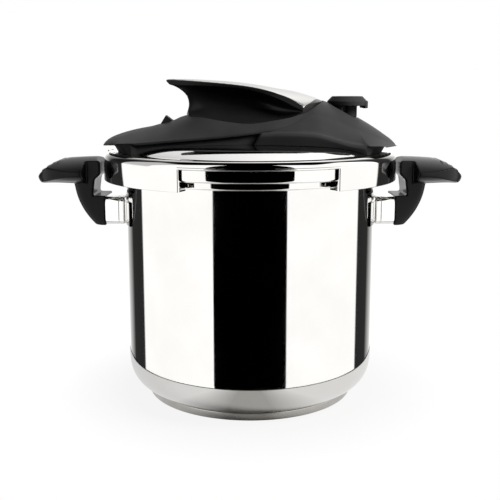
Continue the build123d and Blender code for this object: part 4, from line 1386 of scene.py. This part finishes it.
    def _ferrule(self, tag: str) -> bpy.types.Object:
        """Steel sleeve between pot and handle, with a rolled groove.

        Args:
            tag: Which side, for the name.

        Returns:
            The sleeve.
        """
        verts = []
        skins = list(self.ferrule_stations)
        skins += [(x, self.ferrule_sheet) for x, _ in reversed(self.ferrule_stations)]
        for x, inset in skins:
            half_y, half_z = self.ferrule_half[0] - inset, self.ferrule_half[1] - inset
            corner = self.ferrule_corner - inset
            section = rounded([
                (-half_y, -half_z, corner), (half_y, -half_z, corner),
                (half_y, half_z, corner), (-half_y, half_z, corner),
            ], steps=8)
            ease = max(0.0, 1.0 - (x - self.ferrule_stations[0][0]) / self.ferrule_ease)
            for y, z in section:
                sag = (self.bracket - math.sqrt(self.bracket ** 2 - y ** 2)) * ease
                verts.append((self.side.value * (x - sag), y, self.handle_z - self.ferrule_drop + z))
        points = len(verts) // len(skins)
        return new_piece(f"handle_ferrule_{tag}", verts, rings_to_faces(len(skins), points, True), 50.0)


@dataclass
class Cover:
    """Long black cover: a leaf that rises from the left over a fender on the right.

    Attributes:
        lid: Lid that it stands on.
    """

    lid: Lid
    # Outline of the cover, its wings and the foot under them
    reach: float = 129.4
    foot: float = 117.0
    foot_top: float = 120.8
    foot_z: float = 219.9
    wing_z: float = 223.6
    wing_rise: float = 5.0
    wing_half: float = 62.0
    wing_start: Point2 = (92.0, 98.0)
    half: float = 66.0
    # Height along the middle, and under the round rim by radius
    crest: Stations = (
        (-129.4, 226.4), (-123.7, 230.7), (-116.4, 233.7), (-105.6, 236.9), (-94.9, 239.2), (-87.7, 240.5),
        (-80.6, 242.4), (-68.5, 245.7), (-62.0, 248.5), (-55.0, 250.6), (-38.0, 257.0), (0.0, 262.0),
        (30.0, 264.5), (50.0, 264.4), (64.2, 263.0), (67.8, 261.8), (94.9, 248.6), (107.3, 241.4),
        (118.2, 234.3), (125.5, 228.8), (129.4, 224.9),
    )
    rim: Stations = (
        (95.0, 253.0), (102.0, 246.5), (112.8, 238.5), (120.0, 233.2), (127.3, 228.6), (129.4, 226.0),
    )
    rim_soft: float = 1.2
    # Edge of the leaf, and the lip below it
    leaf_y: Stations = (
        (-129.4, 62.0), (2.7, 62.0), (20.7, 59.5), (32.0, 54.0), (41.0, 46.5), (46.0, 41.0), (60.0, 41.0),
        (129.4, 41.0),
    )
    leaf_z: Stations = (
        (-129.4, 225.0), (-120.0, 227.6), (-110.0, 228.9), (-94.0, 229.5), (-65.0, 232.0), (-39.0, 234.1),
        (-16.0, 236.3), (2.7, 238.3), (20.7, 241.2), (32.0, 244.2), (41.0, 248.2), (46.0, 251.0),
        (64.0, 249.5), (86.0, 241.5), (104.0, 234.0), (120.0, 228.0), (129.4, 224.2),
    )
    lip_depth: float = 1.8
    lip_fade: Point2 = (16.0, 46.0)
    # Fender on the right, which begins with a slanting step
    fender_z: Stations = (
        (-129.4, 237.0), (9.0, 238.1), (25.0, 238.5), (41.0, 238.2), (56.0, 237.1), (72.0, 232.8),
        (81.5, 230.2), (89.0, 228.7), (97.0, 228.0), (107.5, 228.0), (118.0, 227.2), (129.4, 225.0),
    )
    fender_start: float = 8.6
    fender_soft: float = 0.35
    fender_round: Point2 = (4.2, 3.6)
    fender_tuck: float = 0.6
    slant: float = 0.58
    slant_reach: float = 16.0
    slant_top: float = 238.2
    slant_drop: float = 11.0
    # Lower edge, skirt and the hollow underside
    edge_z: Stations = (
        (-129.4, 223.0), (-98.0, 219.9), (-95.0, 219.9), (-85.0, 223.5), (-77.0, 225.0), (-57.0, 226.6),
        (-30.0, 227.4), (0.0, 227.9), (30.0, 227.4), (57.0, 226.4), (77.0, 224.6), (88.0, 222.6),
        (95.0, 219.9), (98.0, 219.9), (129.4, 223.0),
    )
    lid_gap: float = 0.35
    skirt_depth: float = 3.0
    skirt_flare: float = 1.6
    wall: float = 2.4
    roof: float = 5.0
    roof_z: float = 239.0
    # Pocket of the grip, and the openings for knob, indicator and slider
    pocket_x: float = 4.0
    pocket_half: Point2 = (60.7, 52.7)
    pocket_z: Point2 = (243.0, 300.0)
    well_radius: float = 18.8
    well_z: Point2 = (248.1, 290.0)
    stem_bore: float = 7.1
    stem_z: Point2 = (215.0, 249.0)
    pin_bore: float = 3.1
    pin_z: Point2 = (215.0, 270.0)
    slider_x: Point2 = (-81.0, -63.0)
    slider_half: float = 6.4
    slider_z: Point2 = (215.0, 280.0)

    def build(self) -> None:
        """Builds and dresses the cover."""
        columns = self._columns()
        sections = [self._section(x) for x in columns]
        count = len(sections[0])
        verts = [v for section in sections for v in section]
        cover = new_piece("moulded_cover", verts, rings_to_faces(len(sections), count, False), 32.0)
        cut(cover, self._cutters())
        shade(cover, 32.0)
        place(cover, Body.LID, PHENOLIC, ["lid_cover"])

    def _columns(self) -> np.ndarray:
        """Places of the sections along X.

        Returns:
            Places in order, close together at the wing tips and at the fender's end.
        """
        turns = np.array([2.0, 4.0, 6.5, 9.0, 12.0, 15.0, 18.0, 21.0, 24.0, 27.0, 30.0])
        tips = self.reach * np.cos(np.radians(turns))
        middle = np.arange(-110.0, 110.1, 2.0)
        step = self.fender_start + np.array([-1.6, -0.8, -0.25, 0.25, 0.8, 1.6, 2.6])
        near = np.abs(middle - self.fender_start) < 3.2
        return np.unique(np.concatenate([-tips, middle[~near], step, tips]))

    def _section(self, x: float) -> list[Point3]:
        """Closed section across the cover.

        Args:
            x: Place of the section.

        Returns:
            Points round the section, front edge first.
        """
        limit = math.sqrt(max(self.reach ** 2 - x ** 2, 1.0))
        half = min(self.half, limit)
        top = self._front_top(x, half)
        under = self._front_under(x, top[-1])
        ring = [(px, -py, pz) for px, py, pz in reversed(top)]
        ring += top[1:]
        ring += under
        ring += [(px, -py, pz) for px, py, pz in reversed(under[:-1])]
        return ring

    def _front_top(self, x: float, half: float) -> list[Point3]:
        """Upper skin from the crest to the lower edge, on one side.

        Args:
            x: Place of the section.
            half: Half-width there.

        Returns:
            Points from the crest outwards.
        """
        squeeze = half / self.half
        crest = float(through(self.crest, x))
        leaf_y = float(through(self.leaf_y, x)) * squeeze
        leaf_z = float(through(self.leaf_z, x))
        fender_z = min(float(through(self.fender_z, x)), leaf_z - 0.3)
        edge_z = self._edge(x, half)
        fender = 1.0 / (1.0 + math.exp(-(x - self.fender_start) / self.fender_soft))
        faded, faded_end = self.lip_fade
        fade = float(np.clip((faded_end - x) / (faded_end - faded), 0.0, 1.0))
        points: list[Point2] = []
        for t in np.linspace(0.0, 1.0, 30):
            points.append((leaf_y * t, crest - (crest - leaf_z) * t ** 2))
        wing = smooth_step(abs(x), *self.wing_start)
        low_z = edge_z + wing * (self._wing_under(x, leaf_y) - edge_z)
        lip = min(self.lip_depth, 0.45 * max(leaf_z - low_z, 0.1)) * fade * squeeze
        points.append((leaf_y + 0.25 * fade, leaf_z - 0.35 * lip))
        points.append((leaf_y + 0.1 * fade, leaf_z - lip))
        left = self._skirt(leaf_y, leaf_z - lip, edge_z, squeeze)
        right = self._fender(leaf_y, leaf_z - lip, fender_z, half, edge_z)
        lower = blend(left, right, fender)
        if wing > 0.0:
            lower = blend(lower, self._wing(x, half if x > 0 else leaf_y), wing)
        points += lower
        slant = self.slant * math.exp(-((x - self.fender_start) / self.slant_reach) ** 2)
        made: list[Point3] = []
        for y, z in points:
            drop = max(0.0, min(self.slant_top - z, self.slant_drop))
            px = x - slant * drop if y > leaf_y - 0.5 else x
            made.append((px, y, self._under_rim(px, y, z)))
        return made

    def _skirt(self, leaf_y: float, start_z: float, edge_z: float, squeeze: float) -> list[Point2]:
        """Set-back skirt below the leaf.

        Args:
            leaf_y: Half-width of the leaf's edge.
            start_z: Height under the leaf's edge.
            edge_z: Height of the lower edge.
            squeeze: Share of the full width there.

        Returns:
            Points downwards.
        """
        depth = self.skirt_depth * squeeze
        points = [(leaf_y - depth * t, start_z - 0.1 * t) for t in (0.4, 0.9)]
        for t in np.linspace(0.0, 1.0, 12):
            z = start_z - 0.2 + (edge_z - start_z + 0.2) * t
            points.append((leaf_y - depth + self.skirt_flare * t, z))
        return points

    def _fender(
        self, leaf_y: float, start_z: float, fender_z: float, half: float, edge_z: float,
    ) -> list[Point2]:
        """Slope from the leaf down to the fender and round it.

        Args:
            leaf_y: Half-width of the leaf's edge.
            start_z: Height under the leaf's edge.
            fender_z: Height of the fender's crease.
            half: Half-width of the fender.
            edge_z: Height of the lower edge.

        Returns:
            Points downwards, as many as the skirt has.
        """
        round_y, round_z = self.fender_round
        crease_y = max(leaf_y, half - round_y)
        points = [
            (leaf_y + (crease_y - leaf_y) * t, start_z + (fender_z - start_z) * t ** 1.15)
            for t in (0.15, 0.32, 0.5, 0.68, 0.85, 1.0)
        ]
        for turn in np.radians((18.0, 40.0, 62.0, 80.0)):
            out = crease_y + (half - crease_y) * math.sin(turn)
            points.append((out, fender_z - round_z * (1 - math.cos(turn))))
        for t in (0.0, 0.33, 0.66, 1.0):
            drop = fender_z - round_z + (edge_z - fender_z + round_z) * t
            points.append((half - self.fender_tuck * t, drop))
        return points

    def _wing_under(self, x: float, y: float) -> float:
        """Height of a wing's underside, which rises from its tip to its corners."""
        low = self.wing_z + self.wing_rise * (abs(y) / self.wing_half) ** 1.4
        return low if x < 0 else min(low, float(through(self.fender_z, x)) - 0.8)

    def _wing(self, x: float, outer: float) -> list[Point2]:
        """Underside of a wing from its edge in to the foot, then the foot's outer face down to the lid.

        Args:
            x: Place of the section.
            outer: Half-width of the wing there.

        Returns:
            Points inwards and downwards, as many as the skirt has.
        """
        top_y = min(outer - 0.3, math.sqrt(max(self.foot_top ** 2 - x ** 2, 0.01)))
        low_y = min(outer - 0.4, math.sqrt(max(self.foot ** 2 - x ** 2, 0.0)))
        points = []
        for t in np.linspace(0.0, 1.0, 6):
            y = outer + (top_y - outer) * t
            points.append((y, self._wing_under(x, y)))
        start_z = points[-1][1]
        low_z = self.foot_z if abs(x) < self.foot else self._wing_under(x, low_y)
        for t in np.linspace(0.0, 1.0, 9)[1:]:
            points.append((top_y + (low_y - top_y) * t, start_z + (low_z - start_z) * t))
        return points

    def _edge(self, x: float, half: float) -> float:
        """Lower edge, clear of the lid.

        Args:
            x: Place of the section.
            half: Half-width there.

        Returns:
            The height of the edge.
        """
        radius = math.hypot(x, half)
        if radius > self.foot + 1.0:
            return self.foot_z
        return max(float(through(self.edge_z, x)), self.lid.surface(radius) + self.lid_gap)

    def _under_rim(self, x: float, y: float, z: float) -> float:
        """Height held under the rounded rim that follows the lid's circle.

        Args:
            x: Place along the cover.
            y: Place across it.
            z: Height before.

        Returns:
            The lower of the two heights, smoothly joined.
        """
        radius = math.hypot(x, y)
        if radius < self.rim[0][0]:
            return z
        bound = float(through(self.rim, radius))
        share = float(np.clip(0.5 + 0.5 * (bound - z) / self.rim_soft, 0.0, 1.0))
        return bound + (z - bound) * share - self.rim_soft * share * (1 - share)

    def _front_under(self, x: float, edge: Point3) -> list[Point3]:
        """Underside from the lower edge back to the middle, on one side.

        Args:
            x: Place of the section.
            edge: Last point of the upper skin.

        Returns:
            Points inwards, the last on the middle plane.
        """
        px, outer, edge_z = edge
        wall = max(0.0, min(self.wall, 0.2 * outer))
        inner = outer - wall
        points = [(px + (x - px) * t, outer - wall * t, edge_z) for t in (0.25, 0.5, 0.75, 1.0)]
        room = smooth_step(inner, 2.0, 12.0)
        crest = min(float(through(self.crest, x)) - self.roof, self.roof_z)
        for t in np.linspace(1.0, 0.0, 9):
            ceiling = edge_z + room * max(0.0, crest - edge_z) * (1 - t ** 4)
            clear = self.lid.surface(math.hypot(x, inner * t)) + self.lid_gap
            points.append((x, inner * t, max(ceiling, clear)))
        return points

    def _cutters(self) -> list[bpy.types.Object]:
        """Pocket of the grip, well of the knob, slot of the slider and hole of the indicator.

        Returns:
            Closed pieces to cut away.
        """
        turns = np.linspace(0, 2 * math.pi, 128, endpoint=False)
        long, wide = self.pocket_half
        oval = [(self.pocket_x + long * math.cos(t), wide * math.sin(t)) for t in turns]
        pocket = self._prism("pocket", oval, *self.pocket_z)
        well = drill("well", VALVE_AT, self.well_radius, self.well_z, steps=96)
        bore = drill("bore", VALVE_AT, self.stem_bore, self.stem_z)
        pin = drill("pin_hole", INDICATOR_AT, self.pin_bore, self.pin_z, steps=48)
        (left, right), half = self.slider_x, self.slider_half
        slot = self._prism(
            "slot", [(left, -half), (right, -half), (right, half), (left, half)], *self.slider_z,
        )
        return [pocket, well, bore, pin, slot]

    @staticmethod
    def _prism(name: str, outline: Sequence[Point2], bottom: float, top: float) -> bpy.types.Object:
        """Upright block over an outline.

        Args:
            name: Name of the block.
            outline: Points in plan.
            bottom: Lower height.
            top: Upper height.

        Returns:
            The block.
        """
        verts = [(x, y, z) for z in (bottom, top) for x, y in outline]
        return new_piece(name, verts, rings_to_faces(2, len(outline), False))


@dataclass
class Grip:
    """Raised grip with its beak, hollows and steel plate.

    Attributes:
        nodes: Solids of the part by name.
    """

    nodes: dict[str, bpy.types.Object]
    # Crowned top of the grip
    crest: Stations = (
        (-78.0, 280.9), (-66.0, 281.6), (-34.0, 280.7), (-8.0, 278.7), (20.0, 274.4), (44.0, 268.9),
        (66.0, 261.9),
    )
    fall: float = 136.0
    # Outline of the plate, from its nose to the bowed end
    leaf: Stations = (
        (-68.0, 0.0), (-66.5, 5.0), (-60.0, 9.5), (-35.0, 16.0), (-8.0, 18.6), (18.0, 23.0), (32.0, 28.6),
        (45.0, 38.4),
    )
    nose_x: float = -68.0
    nose_round: float = 1.6
    flank_x: float = -65.0
    corner_x: float = 45.0
    corner_half: float = 38.4
    end_x: float = 58.5
    # Thickness and seat of the plate
    sheet: float = 1.2
    proud: float = 1.0
    proud_x: float = 20.0
    edge_drop: float = 0.15
    seat_gap: float = 0.05
    across: int = 24

    def build(self) -> None:
        """Builds and dresses the grip and its plate."""
        grip = softened(self.nodes["grip"], "moulded_grip", 0.6, 4)
        place(grip, Body.LID, POLISHED_PHENOLIC, ["grip"])
        place(self._plate(), Body.LID, PLATE_STEEL, ["grip_plate"])

    def _plate(self) -> bpy.types.Object:
        """Leaf-shaped steel plate let into the crowned top.

        Returns:
            The plate.
        """
        across = self.across
        columns = self._plate_columns()
        verts = []
        for drop in (0.0, self.sheet):
            for x, half in columns:
                top = float(through(self.crest, x)) + self.proud * smooth_step(x, self.proud_x, self.corner_x)
                for t in np.linspace(-1.0, 1.0, across + 1):
                    y = half * t
                    edge = self.edge_drop if abs(t) > 0.999 and drop == 0.0 else 0.0
                    verts.append((x, y, top - y * y / self.fall - drop - edge + self.seat_gap))
        row, layer = across + 1, len(columns) * (across + 1)
        faces = []
        for i in range(len(columns) - 1):
            for k in range(across):
                a = i * row + k
                faces.append((a, a + 1, a + row + 1, a + row))
                faces.append((layer + a, layer + a + row, layer + a + row + 1, layer + a + 1))
            for k in (0, across):
                a = i * row + k
                faces.append((a, a + row, layer + a + row, layer + a))
        for i in (0, len(columns) - 1):
            for k in range(across):
                a = i * row + k
                faces.append((a, a + 1, layer + a + 1, layer + a))
        return new_piece("steel_grip_plate", verts, faces, SHEET_SHARP_DEG)

    def _plate_columns(self) -> list[Point2]:
        """Outline of the plate.

        Returns:
            Places along X and the half-width at each.
        """
        turns = np.linspace(0.0, math.pi / 2, 6)
        front = [self.nose_x + self.nose_round * (1 - math.cos(t)) for t in turns]
        along = [*front, *np.linspace(self.flank_x, self.corner_x, 60)]
        flank = [(x, float(through(self.leaf, x))) for x in along]
        rise = self.end_x - self.corner_x
        bow = (self.corner_half ** 2 + rise ** 2) / (2 * rise)
        middle = self.end_x - bow
        tail = []
        for t in np.linspace(0.0, 1.0, 16)[1:]:
            half = self.corner_half * math.cos(t * math.pi / 2)
            tail.append((middle + math.sqrt(bow ** 2 - half ** 2), max(half, 0.01)))
        return [(x, max(h, 0.01)) for x, h in flank] + tail


@dataclass
class Controls:
    """Selector knob and lock slider.

    Attributes:
        nodes: Solids of the part by name.
    """

    nodes: dict[str, bpy.types.Object]
    # Painted shade: a black block under the left of the knob's cap, standing in for the shade under the cap
    # and in its well; its span in degrees, radii and heights
    shade_block_span: Point2 = (110.0, 140.0)
    shade_block_radii: Point2 = (7.0, 17.2)
    shade_block_z: Point2 = (250.5, 259.0)

    def build(self) -> None:
        """Builds and dresses the controls."""
        # The black block melts into the knob as painted shade under its cap
        (inner, outer), (low, high) = self.shade_block_radii, self.shade_block_z
        outline = [(inner, low), (outer, low), (outer, high), (inner, high)]
        block = lathe("shade_block", outline, *self.shade_block_span, steps=96, centre=VALVE_AT)
        knob = softened(self.nodes["selector_knob"], "moulded_selector_knob", 0.5, 4, [block])
        place(knob, Body.SELECTOR, PHENOLIC, ["selector_knob"])
        slider = softened(self.nodes["lock_slider"], "moulded_lock_slider", 0.4, 3)
        place(slider, Body.LOCK, PHENOLIC, ["lock_slider"])


@dataclass
class Spring:
    """Wound steel spring.

    Attributes:
        node: Solid of the spring.
        joint: Joint of the valve that presses it. Not used.
        lift: How far the valve lifts. Not used.
        nodes: Solids of the part by name.
    """

    node: str
    joint: str
    lift: float
    nodes: dict[str, bpy.types.Object]

    def build(self) -> None:
        """Builds the spring and ties it to the lid."""
        coil = bpy.data.objects.new(f"wound_{self.node}", self.nodes[self.node].data.copy())
        bpy.context.scene.collection.objects.link(coil)
        place(coil, Body.LID, SPRING_WIRE, [self.node])
        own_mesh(coil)


def dress_solids(frame: dict) -> None:
    """Gives the solids that stay in view their finishes.
    """
    finishes = (
        MIRROR_STEEL, BRUSHED_STEEL, PHENOLIC, ALUMINIUM, SILICONE, BRASS, SPRING_WIRE, PLATED_STEEL, RED_PIN,
    )
    by_slot = {finish.slot.value: finish for finish in finishes}
    slots = {row["node"]: row["material_slot"] for row in frame["record"]["subparts"]}
    for name, node in frame["nodes"].items():
        made = by_slot[slots[name]].material()
        for link in node.material_slots:
            link.material = made


def corners(box: tuple[Vector, Vector]) -> list[list[float]]:
    """Lowest and highest corner as plain lists."""
    return [[float(c) for c in corner] for corner in box]


def main() -> None:
    """Builds the studio and every sub-assembly."""
    logging.basicConfig(level=logging.INFO, format="%(name)s %(message)s")
    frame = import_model()
    nodes = frame["nodes"]
    dress_solids(frame)
    Studio().build()
    lid = Lid()
    for assembly in (
        Pot(), lid, *(SideHandle(side, nodes) for side in Side), Cover(lid), Grip(nodes), Controls(nodes),
        Spring("regulator_spring", "regulator_lift", REGULATOR_LIFT, nodes),
        Spring("safety_spring", "safety_lift", SAFETY_LIFT, nodes),
    ):
        assembly.build()


if __name__ == "__main__":
    main()
